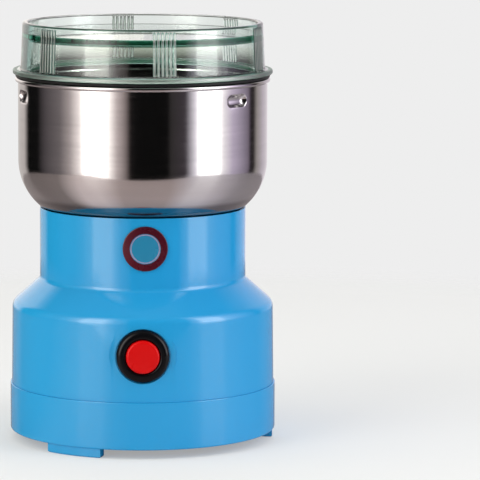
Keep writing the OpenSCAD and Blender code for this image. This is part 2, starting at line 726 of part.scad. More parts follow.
module brush_holders() color(carbon) for (s = [0, 180]) turned(s) difference() {
    translate([-holder_r, -holder_end, z_lower_bracket + bracket_t])
        cube([2 * holder_r, holder_end - holder_start, z_brush + holder_r - z_lower_bracket - bracket_t]);
    translate([-brush_w / 2 - fit, holder_cap - holder_end, z_brush - brush_w / 2 - fit])
        cube([brush_w + 2 * fit, holder_end, brush_w + 2 * fit]);
}
module carbon_brushes() color(black) for (s = [0, 180]) turned(s)
    translate([-brush_w / 2, -brush_end, z_brush - brush_w / 2]) cube([brush_w, brush_len, brush_w]);
module brush_springs() color(steel) for (s = [0, 180]) turned(s)
    along_y(-brush_end - brush_spring_len, z_brush) cylinder(d = brush_w - 1, h = brush_spring_len);
// A lead along the points p, round in section and flat at both ends
module lead(p) {
    path = concat([p[0]], [for (i = [1:len(p) - 2]) each eased(p[i - 1], p[i], p[i + 1])], [p[len(p) - 1]]);
    last = len(path) - 1;
    rings = [for (i = [0:last])
        let (t = unit(path[min(i + 1, last)] - path[max(i - 1, 0)]), u = unit(cross(t, lead_ref)), v = cross(t, u))
        each [for (k = [0:lead_sides - 1])
            path[i] + lead_r * (cos(360 * k / lead_sides) * u + sin(360 * k / lead_sides) * v)]];
    sides = [for (i = [0:last - 1], k = [0:lead_sides - 1])
        let (a = i * lead_sides + k, b = i * lead_sides + (k + 1) % lead_sides)
        each [[a, a + lead_sides, b + lead_sides], [a, b + lead_sides, b]]];
    polyhedron(rings, concat([[for (k = [0:lead_sides - 1]) k]],
        [[for (k = [lead_sides - 1:-1:0]) last * lead_sides + k]], sides));
}
module motor_leads() color(red) {
    coil_mid = [(pole_x + coil_x) / 2, (coil_y + coil_back) / 2, z_turns];
    drop = [0, 0, -2 * lead_d];
    tab = [tab_x + tab_t / 2, -tab_end - tab_len / 2, z_switch];
    front = [coil_mid.x, -coil_mid.y, coil_mid.z];
    lead([tab, [coil_mid.x, tab.y, z_switch], front + drop, front]);
    for (s = [0, 180]) turned(s) {
        start = [-coil_mid.x, -coil_mid.y, coil_mid.z];
        side = [-holder_r, -coil_mid.y, z_brush];
        lead([start, start + drop, side - [2 * lead_d, 0, 0], side]);
    }
}

module motor_shaft() color(steel) {
    translate([0, 0, z_fan - shaft_tail]) cylinder(r = r_shaft, h = z_lower_blade - z_fan + shaft_tail);
    translate([0, 0, z_lower_blade]) cylinder(r = stud_r, h = z_nut + stud_over - z_lower_blade);
}
// Bars set round the axis, for the armature's slots and the wire in them
module slot_bars(w, depth, z0, z1) for (i = [0:slot_count - 1]) turned((i + 0.5) * 360 / slot_count)
    translate([0, -winding_r + depth / 2, 0]) slab(w, depth, z0, z1);
module armature_core() color(zinc) difference() {
    ring(armature_r, r_shaft + fit, z_stack, z_stack_top);
    slot_bars(slot_w, slot_depth, z_stack - over, z_stack_top + over);
}
module armature_winding() color(copper) {
    turns_in = winding_r - slot_depth;
    ring(winding_r - fit, turns_in, z_turns, z_stack);
    ring(winding_r - fit, turns_in, z_stack_top, z_stack_top + turn_h);
    slot_bars(slot_w - 2 * fit, slot_depth - 4 * fit, z_turns + over, z_stack_top + turn_h - over);
}
module commutator() color(copper) difference() {
    bar_gap = 0.5;
    bar_groove = 1;
    ring(commutator_r, r_shaft + fit, z_commutator, z_commutator + commutator_len);
    for (i = [0:slot_count - 1]) turned(i * 360 / slot_count)
        translate([0, -commutator_r, 0])
            slab(bar_gap, 2 * bar_groove, z_commutator - over, z_commutator + commutator_len + over);
}
module cooling_fan() color(black) {
    hub = r_shaft + 4;
    disc_t = 1.2;
    blade = 1.4;
    ring(hub, r_shaft + fit, z_fan, z_fan + fan_h);
    ring(fan_d / 2, hub - over, z_fan + fan_h - disc_t, z_fan + fan_h);
    for (i = [0:fan_blades - 1]) turned(i * 360 / fan_blades)
        translate([-blade / 2, hub - over / 2, z_fan]) cube([blade, fan_d / 2 - hub - over, fan_h - disc_t / 2]);
}
module blade_collar() color(steel) ring(collar_r, r_shaft + fit, z_collar, z_lower_blade);
// A stamped blade: a flat middle with a hole, and two arms bent at its ends
module blade(z, length, bend) translate([0, 0, z]) difference() {
    arm = (length - blade_flat) / 2;
    edge_angle = 25;
    edge_w = 1.2;
    union() {
        slab(blade_flat, blade_w, 0, blade_t);
        for (s = [0, 180]) turned(s) translate([blade_flat / 2, 0, blade_t / 2]) {
            rotate([90, 0, 0]) cylinder(d = blade_t, h = blade_w, center = true);
            rotate([0, -bend, 0]) translate([0, 0, -blade_t / 2]) difference() {
                linear_extrude(blade_t) polygon([[0, -blade_w / 2], [arm, -blade_tip_w / 2],
                    [arm - blade_tip_w / 3, blade_tip_w / 2], [0, blade_w / 2]]);
                // Ground edge on the side that meets the beans
                translate([0, -blade_w / 2, blade_t / 2]) rotate([0, 0, atan((blade_w - blade_tip_w) / 2 / arm)])
                    rotate([edge_angle, 0, 0]) translate([over, -blade_w, 0]) cube([arm, blade_w + edge_w, blade_t * 2]);
            }
        }
    }
    hole(stud_r + fit, 0, blade_t);
}
module lower_blade() color(steel) turned(blade_turn) blade(z_lower_blade, lower_blade_l, -lower_bend_angle);
module upper_blade() color(steel) turned(blade_turn + 90) blade(z_upper_blade, upper_blade_l, upper_bend_angle);
module blade_spacer() color(steel) ring(collar_r - bevel, stud_r + fit, z_spacer, z_upper_blade);
module blade_nut() color(steel) translate([0, 0, z_nut]) difference() {
    union() {
        cylinder(d = nut_d, h = nut_h, $fn = 6);
        intersection() {
            sphere(r = nut_d * 0.55);
            cylinder(d = nut_d * 0.8, h = nut_d);
        }
    }
    translate([0, 0, -over]) cylinder(r = stud_r + fit, h = stud_over + clear + over);
}

module lid_seal() color(carbon) ring(r_seal, r_seal - seal_w, z_rim, z_lid);
module lid_profile() polygon([
    [r_skirt - skirt_wall, z_skirt], [r_skirt, z_skirt], [r_skirt, z_lid], [r_flange, z_lid],
    [r_flange, z_flange_top], [r_lid, z_flange_top], [r_lid_top, z_top], [r_lid_top - lid_wall, z_top],
    [lid_wall_r(z_plate + plate_t) - lid_wall, z_plate + plate_t], [0, z_plate + plate_t], [0, z_plate],
    [lid_wall_r(z_plate) - lid_wall, z_plate], [r_lid - lid_wall, z_flange_top],
    [r_skirt - skirt_wall, z_flange_top]]);
module lid() color(clear_green) {
    rotate_extrude() lid_profile();
    for (a = lug_angles) {
        sector(a + lock_turn, cam_span) translate([r_skirt - over, z_cam]) square([cam_r - r_skirt + over, cam_h]);
        turned(a + lock_turn + stop_turn) translate([-stop_w / 2, fit - cam_r, z_cam + cam_h / 2])
            cube([stop_w, cam_r - fit - r_skirt + over, stop_top - z_cam - cam_h / 2]);
    }
    for (g = [0:rib_groups - 1], i = [0:ribs_per_group - 1])
        turned(rib_turn + 360 / rib_groups * g + rib_pitch * (i - (ribs_per_group - 1) / 2))
            rod([0, -r_lid, z_flange_top - lid_flange_t / 2],
                [0, -lid_wall_r(z_top - rib_d / 2), z_top - rib_d / 2], rib_d / 2);
}

base_cover();
base_screws();
upper_housing();
badge();
cord_gland();
switch_bezel();
switch_nut();
contact_block();
switch_terminals();
switch_spring();
button_cap();
bowl();
bowl_gasket();
bowl_screws();
shaft_hub();
hub_nut();
shaft_seal();
upper_bracket();
lower_bracket();
upper_bush();
lower_bush();
stator_core();
field_coils();
motor_bolts();
motor_nuts();
motor_screws();
motor_grommets();
brush_holders();
carbon_brushes();
brush_springs();
motor_leads();
motor_shaft();
armature_core();
armature_winding();
commutator();
cooling_fan();
blade_collar();
lower_blade();
blade_spacer();
upper_blade();
blade_nut();
lid_seal();
lid();
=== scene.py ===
import math

import bmesh
import bpy
from mathutils import Matrix, Quaternion, Vector


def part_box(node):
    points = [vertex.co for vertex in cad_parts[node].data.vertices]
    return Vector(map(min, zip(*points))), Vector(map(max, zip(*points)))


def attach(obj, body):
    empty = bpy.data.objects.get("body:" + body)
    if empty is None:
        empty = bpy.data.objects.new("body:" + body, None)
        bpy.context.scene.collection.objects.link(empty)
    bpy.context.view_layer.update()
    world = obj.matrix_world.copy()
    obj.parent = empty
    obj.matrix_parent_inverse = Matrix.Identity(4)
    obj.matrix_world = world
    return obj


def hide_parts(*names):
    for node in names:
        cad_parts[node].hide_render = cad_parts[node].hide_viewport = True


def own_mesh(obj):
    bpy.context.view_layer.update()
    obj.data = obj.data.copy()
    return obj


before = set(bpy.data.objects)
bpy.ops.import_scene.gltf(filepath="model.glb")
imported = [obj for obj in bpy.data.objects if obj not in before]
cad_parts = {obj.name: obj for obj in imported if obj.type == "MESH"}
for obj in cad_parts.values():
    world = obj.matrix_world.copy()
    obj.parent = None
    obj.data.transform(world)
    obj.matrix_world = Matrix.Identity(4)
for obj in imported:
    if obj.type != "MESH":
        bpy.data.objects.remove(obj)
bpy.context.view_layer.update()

# Upper housing
# One glossy blue shell, injection moulded: barrel, sloping shoulder and neck, with a deck under the
# bowl. Screw columns, motor posts and flat pads behind the switch and the gland are moulded inside.
mm = 0.001
tiny = 0.001 * mm
arc_step = 0.5 * mm
arc_fewest = 4
round_guard = 0.2
turn_steps = 192
rod_sides = 64
sharp_edge = math.radians(35)
base_low, base_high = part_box("base_cover")
bowl_low, bowl_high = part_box("bowl")
bezel_low, bezel_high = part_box("switch_bezel")
gland_low, gland_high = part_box("cord_gland")
seam_up = base_high.z
seam_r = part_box("upper_housing")[1].x
wall = 2.4 * mm
barrel_r = seam_r - 0.4 * mm
corner_up = seam_up + 32.7 * mm
crease_up = corner_up + 9.9 * mm
neck_r = 41.6 * mm
neck_in = neck_r - wall
inner_drop = 1.03 * mm
deck_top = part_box("bowl_gasket")[0].z
deck_under = deck_top - 2.6 * mm
hub_hole = 8.1 * mm
lip_r = base_high.x - wall - 0.3 * mm
lip_in = lip_r - 2.4 * mm
lip_h = 4 * mm
bowl_r = 50.2 * mm
bowl_round = 24 * mm
bowl_axis = bowl_r - bowl_round
bowl_mid_up = bowl_low.z + bowl_round
seat_gap = 0.35 * mm
switch_up = (bezel_low.z + bezel_high.z) / 2
spot_gap = 0.4 * mm
switch_seat = math.sqrt(barrel_r ** 2 - (bezel_high.x + spot_gap) ** 2)
switch_panel = switch_seat - 4 * mm
gland_up = (gland_low.z + gland_high.z) / 2
gland_seat = math.sqrt(barrel_r ** 2 - (gland_high.x + spot_gap) ** 2)
gland_panel = gland_seat - 4 * mm
column_r = 4.5 * mm
column_ring = lip_in - column_r - 0.5 * mm
column_angles = (30, 150, 270)
columns = (column_angles, column_ring)
motor_posts = ((0, 180), 27.05 * mm)
bowl_bosses = ((45, 165, 285), 18 * mm)


def arc(centre, radius, start, end):
    """Points of an arc about a centre, from one angle to another in degrees."""
    count = max(arc_fewest, round(abs(math.radians(end - start)) * radius / arc_step))
    turns = [math.radians(start + (end - start) * i / count) for i in range(count + 1)]
    return [(centre[0] + radius * math.cos(a), centre[1] + radius * math.sin(a)) for a in turns]


def rounded_outline(corners):
    """A closed outline through corners (across, up, radius), with guard points beside each round."""
    points = []
    for i, (across, up, radius) in enumerate(corners):
        here = Vector((across, up))
        if radius == 0:
            points.append((across, up))
            continue
        back = (Vector(corners[i - 1][:2]) - here).normalized()
        on = (Vector(corners[(i + 1) % len(corners)][:2]) - here).normalized()
        half = back.angle(on) / 2
        centre = here + (back + on).normalized() * radius / math.sin(half)
        reach = radius / math.tan(half)
        first = here + back * reach - centre
        last = here + on * reach - centre
        start = math.degrees(math.atan2(first.y, first.x))
        turn = math.degrees(math.atan2(last.y, last.x)) - start
        turn = (turn + 540) % 360 - 180
        points.append(tuple(here + back * (reach + round_guard * radius)))
        points += arc(centre, radius, start, start + turn)
        points.append(tuple(here + on * (reach + round_guard * radius)))
    return points


def soften(mesh):
    """Shades a mesh smooth, apart from its true edges."""
    mesh.shade_smooth()
    mesh.set_sharp_from_angle(angle=sharp_edge)


def new_piece(name, maker):
    """An object made of what the mesh maker holds."""
    mesh = bpy.data.meshes.new(name)
    maker.to_mesh(mesh)
    maker.free()
    soften(mesh)
    piece = bpy.data.objects.new(name, mesh)
    bpy.context.scene.collection.objects.link(piece)
    return piece


def lathe(name, outline, angles=None, shape=None):
    """A closed outline of (radius, height) points turned about the upright axis. shape may move them."""
    if angles is None:
        angles = [2 * math.pi * i / turn_steps for i in range(turn_steps)]
    maker = bmesh.new()
    rings = []
    for across, up in outline:
        if across < tiny:
            rings.append([maker.verts.new((0, 0, up))] * len(angles))
            continue
        ring = []
        for angle in angles:
            r, z = shape(angle, across, up) if shape else (across, up)
            ring.append(maker.verts.new((r * math.sin(angle), -r * math.cos(angle), z)))
        rings.append(ring)
    for i, ring in enumerate(rings):
        upper = rings[(i + 1) % len(rings)]
        for k in range(len(angles)):
            n = (k + 1) % len(angles)
            corners = list(dict.fromkeys([ring[k], ring[n], upper[n], upper[k]]))
            if len(corners) > 2:
                maker.faces.new(corners)
    return new_piece(name, maker)


def around(angle, radius, up):
    """The point at an angle, which counts in degrees from the front towards the right."""
    turn = math.radians(angle)
    return Vector((radius * math.sin(turn), -radius * math.cos(turn), up))


def rods(spans):
    """Round rods, each from one point to another with a radius, as one shape to add or cut."""
    maker = bmesh.new()
    for start, end, radius in spans:
        way = Vector(end) - Vector(start)
        spot = Matrix.Translation((Vector(start) + Vector(end)) / 2)
        spot = spot @ way.to_track_quat("Z", "Y").to_matrix().to_4x4()
        bmesh.ops.create_cone(maker, cap_ends=True, segments=rod_sides, radius1=radius, radius2=radius,
                              depth=way.length, matrix=spot)
    return new_piece("rods", maker)


def upright(stand, low, high, radius):
    """Spans of upright rods at the angles of a stand on its ring, from one height to another."""
    angles, ring = stand
    return [(around(angle, ring, low), around(angle, ring, high), radius) for angle in angles]


def slabs(boxes):
    """Blocks, each with a middle, a size and a turn about the upright axis, as one shape to add."""
    maker = bmesh.new()
    for middle, size, turn in boxes:
        spot = Matrix.Translation(middle) @ Matrix.Rotation(math.radians(turn), 4, "Z")
        bmesh.ops.create_cube(maker, size=1, matrix=spot @ Matrix.Diagonal((*size, 1)))
    return new_piece("slabs", maker)


def combine(piece, tool, how):
    """Adds a tool shape to a piece (UNION) or cuts it out (DIFFERENCE)."""
    step = piece.modifiers.new(how, "BOOLEAN")
    step.operation = how
    step.object = tool
    step.solver = "EXACT"
    rough = piece.data
    made = piece.evaluated_get(bpy.context.evaluated_depsgraph_get())
    piece.data = bpy.data.meshes.new_from_object(made)
    piece.modifiers.clear()
    bpy.data.meshes.remove(rough)
    bpy.data.objects.remove(tool)
    soften(piece.data)


def seat_height(radius):
    """Height of the neck's top, which follows the round of the bowl."""
    return bowl_mid_up - math.sqrt((bowl_round + seat_gap) ** 2 - (radius - bowl_axis) ** 2)


housing = lathe("housing_shell", rounded_outline([
    (lip_in, seam_up - lip_h, 0.3 * mm), (lip_r, seam_up - lip_h, 0.3 * mm), (lip_r, seam_up, 0),
    (seam_r, seam_up, 0.1 * mm), (barrel_r, corner_up, 4 * mm), (neck_r, crease_up, 2 * mm),
    (neck_r, seat_height(neck_r), 0.25 * mm), (neck_in, seat_height(neck_in), 0.3 * mm),
    (neck_in, deck_top, 0.5 * mm), (hub_hole, deck_top, 0), (hub_hole, deck_under, 0),
    (neck_in, deck_under, 0.5 * mm), (neck_in, crease_up - inner_drop, 1 * mm),
    (barrel_r - wall, corner_up - inner_drop, 2 * mm), (seam_r - wall, seam_up + lip_h, 0),
    (lip_in, seam_up + lip_h, 0.2 * mm)]))
column_h = 16 * mm
column_bore, column_bore_h = 1.8 * mm, 11 * mm
wall_mid = barrel_r - wall / 2
web_t = 3 * mm
web = Vector((web_t, wall_mid - column_ring, column_h))
web_mid = (column_ring + wall_mid) / 2
switch_pad, switch_spot, switch_hole = 13.2 * mm, 10.9 * mm, 8.1 * mm
gland_pad, gland_spot, gland_hole = 8 * mm, 7.9 * mm, 5.4 * mm
post_r, post_h, post_bore = 4.55 * mm, 4 * mm, 1.85 * mm
boss_r, boss_h, boss_bore = 4.3 * mm, 3.6 * mm, 1.6 * mm
overlap = 1 * mm
past_boss = 5 * mm
past_wall = 60 * mm
hole_near, hole_far = 45 * mm, 55 * mm
combine(housing, rods(upright(columns, seam_up, seam_up + column_h, column_r)), "UNION")
webs = [(around(a, web_mid, seam_up + column_h / 2), web, a) for a in column_angles]
combine(housing, slabs(webs), "UNION")
combine(housing, rods(
    [((0, -switch_panel, switch_up), (0, -wall_mid, switch_up), switch_pad),
     ((0, gland_panel, gland_up), (0, wall_mid, gland_up), gland_pad)]
    + upright(motor_posts, deck_under - post_h, deck_under + overlap, post_r)
    + upright(bowl_bosses, deck_under - boss_h, deck_under + overlap, boss_r)),
    "UNION")
combine(housing, rods(
    [((0, -past_wall, switch_up), (0, -switch_seat, switch_up), switch_spot),
     ((0, past_wall, gland_up), (0, gland_seat, gland_up), gland_spot)]
    + upright(columns, seam_up - overlap, seam_up + column_bore_h, column_bore)
    + upright(bowl_bosses, deck_under - past_boss, deck_top + overlap, boss_bore)
    + upright(motor_posts, deck_under - past_boss, deck_under - overlap, post_bore)),
    "DIFFERENCE")
combine(housing, rods([((0, -hole_far, switch_up), (0, -hole_near, switch_up), switch_hole),
                       ((0, hole_far, gland_up), (0, hole_near, gland_up), gland_hole)]), "DIFFERENCE")


def add_node(tree, kind, values=None, **settings):
    """A shader node with its settings, and its inputs set to values or linked to other nodes' outputs."""
    made = tree.nodes.new(kind)
    for name, value in settings.items():
        setattr(made, name, value)
    for name, value in (values or {}).items():
        if isinstance(value, bpy.types.NodeSocket):
            tree.links.new(value, made.inputs[name])
        else:
            made.inputs[name].default_value = value
    return made


def maths(tree, how, *given, **settings):
    """What a Math node makes of the given values and outputs."""
    return add_node(tree, "ShaderNodeMath", dict(enumerate(given)), operation=how, **settings).outputs[0]


def own_place(tree):
    """The place of each point in its piece's own frame."""
    return add_node(tree, "ShaderNodeTexCoord").outputs["Object"]


def ranged(tree, value, start, end, first=0.0, last=1.0, smooth=False):
    """A value that goes from first to last while the given one goes from start to end."""
    ends = {"Value": value, "From Min": start, "From Max": end, "To Min": first, "To Max": last}
    how = "SMOOTHSTEP" if smooth else "LINEAR"
    return add_node(tree, "ShaderNodeMapRange", ends, interpolation_type=how).outputs["Result"]


def mixed(tree, share, first, last):
    """A colour between two others, each written out or taken from an output."""
    first, last = [(*tone, 1) if isinstance(tone, tuple) else tone for tone in (first, last)]
    return add_node(tree, "ShaderNodeMix", {0: share, 6: first, 7: last}, data_type="RGBA").outputs[2]


def new_group(name, inputs, outputs):
    """A shader node group with named sockets, each with its kind and, for an input, its value."""
    tree = bpy.data.node_groups.new(name, "ShaderNodeTree")
    for label, kind, value in inputs:
        tree.interface.new_socket(label, in_out="INPUT", socket_type=kind).default_value = value
    for label, kind in outputs:
        tree.interface.new_socket(label, in_out="OUTPUT", socket_type=kind)
    return tree, tree.nodes.new("NodeGroupInput"), tree.nodes.new("NodeGroupOutput")


fine_marks, given, result = new_group(
    "fine_marks",
    [("Scale", "NodeSocketFloat", 60.0), ("Stretch", "NodeSocketVector", (1, 1, 1))],
    [("Tone", "NodeSocketFloat"), ("Mask", "NodeSocketFloat"), ("Height", "NodeSocketFloat")])
place = own_place(fine_marks)
drawn = add_node(fine_marks, "ShaderNodeVectorMath", {0: place, 1: given.outputs["Stretch"]},
                 operation="MULTIPLY").outputs[0]
cloud_low, cloud_high = 0.35, 0.68
for label, finer, detail in (("Tone", 0.3, 2.0), ("Mask", 1.0, 6.0), ("Height", 14.0, 2.0)):
    size = maths(fine_marks, "MULTIPLY", given.outputs["Scale"], finer)
    cloud = add_node(fine_marks, "ShaderNodeTexNoise", {"Vector": drawn, "Scale": size, "Detail": detail})
    spread = ranged(fine_marks, cloud.outputs[0], cloud_low, cloud_high)
    fine_marks.links.new(spread, result.inputs[label])


def new_material(name, values):
    """A material whose shader holds these values on its own sockets."""
    material = bpy.data.materials.new(name)
    material.use_nodes = True
    shader = material.node_tree.nodes["Principled BSDF"]
    for socket, value in values.items():
        shader.inputs[socket].default_value = value
    return material


skin_depth = 0.1 * mm


def marked_material(name, values, scale, tones, roughness, bump, stretch=(1, 1, 1)):
    """A material with the fine marks: two tones of colour, a range of roughness and a raised skin."""
    material = new_material(name, values)
    tree = material.node_tree
    shader = tree.nodes["Principled BSDF"]
    marks = add_node(tree, "ShaderNodeGroup", {"Scale": scale, "Stretch": stretch}, node_tree=fine_marks)
    skin = add_node(tree, "ShaderNodeBump", {
        "Height": marks.outputs["Height"], "Strength": bump, "Distance": skin_depth})
    tree.links.new(mixed(tree, marks.outputs["Tone"], *tones), shader.inputs["Base Color"])
    tree.links.new(ranged(tree, marks.outputs["Mask"], 0.0, 1.0, *roughness), shader.inputs["Roughness"])
    tree.links.new(skin.outputs["Normal"], shader.inputs["Normal"])
    return material


blue_plastic = marked_material(
    "blue_plastic", {"IOR": 1.56}, scale=55,
    tones=((0.017, 0.29, 0.605), (0.02, 0.3, 0.615)), roughness=(0.03, 0.06), bump=0.015)
housing.data.materials.append(blue_plastic)
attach(housing, "base")
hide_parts("upper_housing")

# Badge
# A round printed film badge, bent to the neck's round and glued on. A dark red ring stands a little
# proud of its plain blue middle, and a thin pale line inside the ring is a painted highlight.
badge_low, badge_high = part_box("badge")
badge_up = (badge_low.z + badge_high.z) / 2
badge_r = (badge_high.z - badge_low.z) / 2
badge_angle = 1.3
badge_mid = around(badge_angle, neck_r, badge_up)
ring_in = 0.68 * badge_r
ring_top, film_top = 0.7 * mm, 0.4 * mm
glue = 0.05 * mm
badge = lathe("badge_disc", rounded_outline([
    (0, glue, 0), (badge_r, glue, 0.1 * mm), (badge_r, ring_top, 0.3 * mm), (ring_in, ring_top, 0.2 * mm),
    (ring_in - 0.2 * mm, film_top, 0.15 * mm), (badge_r / 2, film_top, 0), (0, film_top, 0)]))
for point in badge.data.vertices:
    turn = math.radians(badge_angle) + point.co.x / neck_r
    reach = neck_r + point.co.z
    point.co = (reach * math.sin(turn), -reach * math.cos(turn), badge_up + point.co.y)


def tint_over(material, share, colour):
    """Lays one more colour over what a material has so far, by a share."""
    tree = material.node_tree
    base_colour = tree.nodes["Principled BSDF"].inputs["Base Color"]
    tree.links.new(mixed(tree, share, base_colour.links[0].from_socket, colour), base_colour)


middle_blue = (0.016, 0.19, 0.34)
highlight_pale = (0.3, 0.24, 0.38)
line_r, line_half = ring_in - 0.45 * mm, 0.2 * mm
badge_film = marked_material(
    "badge_film", {"IOR": 1.5}, scale=90,
    tones=((0.05, 0.001, 0.008), (0.07, 0.002, 0.01)), roughness=(0.2, 0.3), bump=0.03)
tree = badge_film.node_tree
place = own_place(tree)
off_mid = add_node(tree, "ShaderNodeVectorMath", {0: place, 1: badge_mid}, operation="DISTANCE")
out = off_mid.outputs["Value"]
tint_over(badge_film, maths(tree, "LESS_THAN", out, ring_in), middle_blue)
# Painted highlight: a thin pale line just inside the raised ring's inner edge.
tint_over(badge_film, maths(tree, "COMPARE", out, line_r, line_half), highlight_pale)
badge.data.materials.append(badge_film)
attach(badge, "base")
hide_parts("badge")

# Bowl
# A deep-drawn cup of stainless sheet with a rolled rim, mirror polished; painted shade darkens its
# underside by the neck. Three dents pressed in under the rim hold the lid. Screws fix its floor to the
# deck.
sheet = 0.8 * mm
bead_r = 1 * mm
rim_up = bowl_high.z
bowl_in = bowl_r - sheet
bead = (bowl_in + bead_r, rim_up - bead_r)
lug_up = rim_up - 6.9 * mm
lug_r = 2.6 * mm
lug_half = 3.2 * mm
lug_depth = 1.8 * mm
lug_soft = 0.35 * mm
lug_reach, lug_fade = 5 * mm, 2 * mm
wall_near = 0.1 * mm
lug_angles = (48, 168, 288)


def uneven_turn(coarse, fine, zones):
    """Angles all the way round, closer together within each zone's reach of its middle, in degrees."""
    angles = []
    angle = 0.0
    while angle < 360 - fine / 2:
        angles.append(math.radians(angle))
        close = any(abs((angle - middle + 180) % 360 - 180) < reach for middle, reach in zones)
        angle += fine if close else coarse
    return angles


def dented(angle, across, up):
    """Presses the three lugs into the wall."""
    if across < bowl_in - wall_near or abs(up - lug_up) > lug_reach:
        return across, up
    off = min(abs((math.degrees(angle) - a + 180) % 360 - 180) for a in lug_angles)
    along = max(math.radians(off) * bowl_r - lug_half, 0)
    away = math.hypot(along, up - lug_up)
    bar_r = lug_r if across > bowl_r - wall_near else lug_r + sheet
    rise = math.sqrt(max(bar_r ** 2 - away ** 2, 0)) - (bar_r - lug_depth) - max(away - bar_r, 0)
    press = (rise + math.hypot(rise, lug_soft)) / 2
    fade = min(max((lug_reach - away) / lug_fade, 0), 1)
    return across - press * fade, up


lug_rows = 20
lug_heights = [lug_up + lug_reach * i / lug_rows for i in range(-lug_rows, lug_rows + 1)]
floor_edge = 26 * mm
wall_foot = bowl_mid_up + 0.5 * mm
bead_start = -101.5
coarse_step, lug_step, lug_zone = 1.5, 0.3, 11
bowl = lathe(
    "bowl_shell",
    [(hub_hole, bowl_low.z), (floor_edge, bowl_low.z)]
    + arc((bowl_axis, bowl_mid_up), bowl_round, -90, 0)
    + [(bowl_r, wall_foot)] + [(bowl_r, up) for up in lug_heights]
    + arc(bead, bead_r, bead_start, 180)
    + [(bowl_in, up) for up in reversed(lug_heights)] + [(bowl_in, wall_foot)]
    + arc((bowl_axis, bowl_mid_up), bowl_round - sheet, 0, -90)
    + [(floor_edge, bowl_low.z + sheet), (hub_hole, bowl_low.z + sheet)],
    uneven_turn(coarse_step, lug_step, [(a, lug_zone) for a in lug_angles]), dented)
bore_low, bore_high = bowl_low.z - overlap, bowl_low.z + 2 * overlap
combine(bowl, rods(upright(bowl_bosses, bore_low, bore_high, boss_bore)), "DIFFERENCE")
polished_steel = marked_material(
    "polished_steel", {"Metallic": 1}, scale=40,
    tones=((0.53, 0.51, 0.505), (0.57, 0.545, 0.54)), roughness=(0.08, 0.13), bump=0.006,
    stretch=(1, 1, 26))
# Painted shade: the steel's colour turns darker grey low on the bowl, where it overhangs the neck.
underside_shade_grey = (0.28, 0.26, 0.26)
underside_shade_from, underside_shade_to = seat_height(neck_r) + 5.3 * mm, seat_height(neck_r) + 3.6 * mm
tree = polished_steel.node_tree
place = own_place(tree)
up = add_node(tree, "ShaderNodeSeparateXYZ", {0: place}).outputs["Z"]
tint_over(polished_steel, ranged(tree, up, underside_shade_from, underside_shade_to), underside_shade_grey)
bowl.data.materials.append(polished_steel)
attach(bowl, "base")
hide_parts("bowl")

# Bowl fastening
# A rubber gasket under the bowl's floor, three cross-head screws, and a nylon hub clamped by a nut,
# which carries the rubber lip seal round the shaft.


def finish_nodes(material, *nodes, edge=0.15 * mm):
    """Gives solids of the frame their finish and takes off their sharp edges."""
    for node in nodes:
        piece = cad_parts[node]
        piece.data.materials.clear()
        piece.data.materials.append(material)
        weld = piece.modifiers.new("joined faces", "WELD")
        weld.merge_threshold = tiny
        round_off = piece.modifiers.new("rounded edges", "BEVEL")
        round_off.width = edge
        round_off.segments = 2
        round_off.limit_method = "ANGLE"
        round_off.angle_limit = sharp_edge
        round_off.harden_normals = True


black_rubber = marked_material(
    "black_rubber", {"IOR": 1.52, "Specular IOR Level": 0.2}, scale=120,
    tones=((0.004, 0.004, 0.005), (0.007, 0.007, 0.007)), roughness=(0.45, 0.6), bump=0.12)
screw_steel = marked_material(
    "screw_steel", {"Metallic": 1}, scale=300,
    tones=((0.5, 0.5, 0.51), (0.6, 0.6, 0.6)), roughness=(0.2, 0.36), bump=0.05, stretch=(1, 1, 3))
nylon = marked_material(
    "nylon", {"IOR": 1.53}, scale=150,
    tones=((0.76, 0.74, 0.68), (0.8, 0.78, 0.73)), roughness=(0.35, 0.45), bump=0.05)
zinc_plate = marked_material(
    "zinc_plate", {"Metallic": 1}, scale=160,
    tones=((0.42, 0.44, 0.46), (0.56, 0.57, 0.58)), roughness=(0.28, 0.46), bump=0.06)
finish_nodes(black_rubber, "bowl_gasket")
finish_nodes(screw_steel, "bowl_screws")
finish_nodes(nylon, "shaft_hub", edge=0.3 * mm)
finish_nodes(zinc_plate, "hub_nut", edge=0.3 * mm)
finish_nodes(black_rubber, "shaft_seal", edge=0.3 * mm)

# Motor frame
# Two folded zinc-plated brackets hold brass bushes and clamp the stator between them with two
# through bolts. Rubber grommets and screws hang the frame from the posts under the deck.
brass = marked_material(
    "brass", {"Metallic": 1}, scale=200,
    tones=((0.62, 0.44, 0.16), (0.7, 0.52, 0.22)), roughness=(0.22, 0.36), bump=0.05)
finish_nodes(zinc_plate, "upper_bracket", "lower_bracket", edge=0.4 * mm)
finish_nodes(brass, "upper_bush", "lower_bush", edge=0.3 * mm)
finish_nodes(screw_steel, "motor_bolts", "motor_nuts", "motor_screws")
finish_nodes(black_rubber, "motor_grommets", edge=0.3 * mm)

# Stator and armature
# Stacks of stamped core sheet, half a millimetre each, with enamelled copper wire wound round the
# poles and through the armature's slots.
fine_lines, given, result = new_group(
    "fine_lines",
    [("Axis", "NodeSocketVector", (0, 0, 1)), ("Pitch", "NodeSocketFloat", 0.5 * mm)],
    [("Height", "NodeSocketFloat"), ("Gap", "NodeSocketFloat")])
place = own_place(fine_lines)
along = add_node(fine_lines, "ShaderNodeVectorMath", {0: place, 1: given.outputs["Axis"]},
                 operation="DOT_PRODUCT").outputs["Value"]
steps = maths(fine_lines, "DIVIDE", along, given.outputs["Pitch"])
wave = maths(fine_lines, "SINE", maths(fine_lines, "MULTIPLY", steps, math.pi))
crown = maths(fine_lines, "ABSOLUTE", wave)
groove_depth = 0.45
fine_lines.links.new(crown, result.inputs["Height"])
fine_lines.links.new(ranged(fine_lines, crown, 0.0, groove_depth, 1.0, 0.0), result.inputs["Gap"])
row_depth = 0.2 * mm


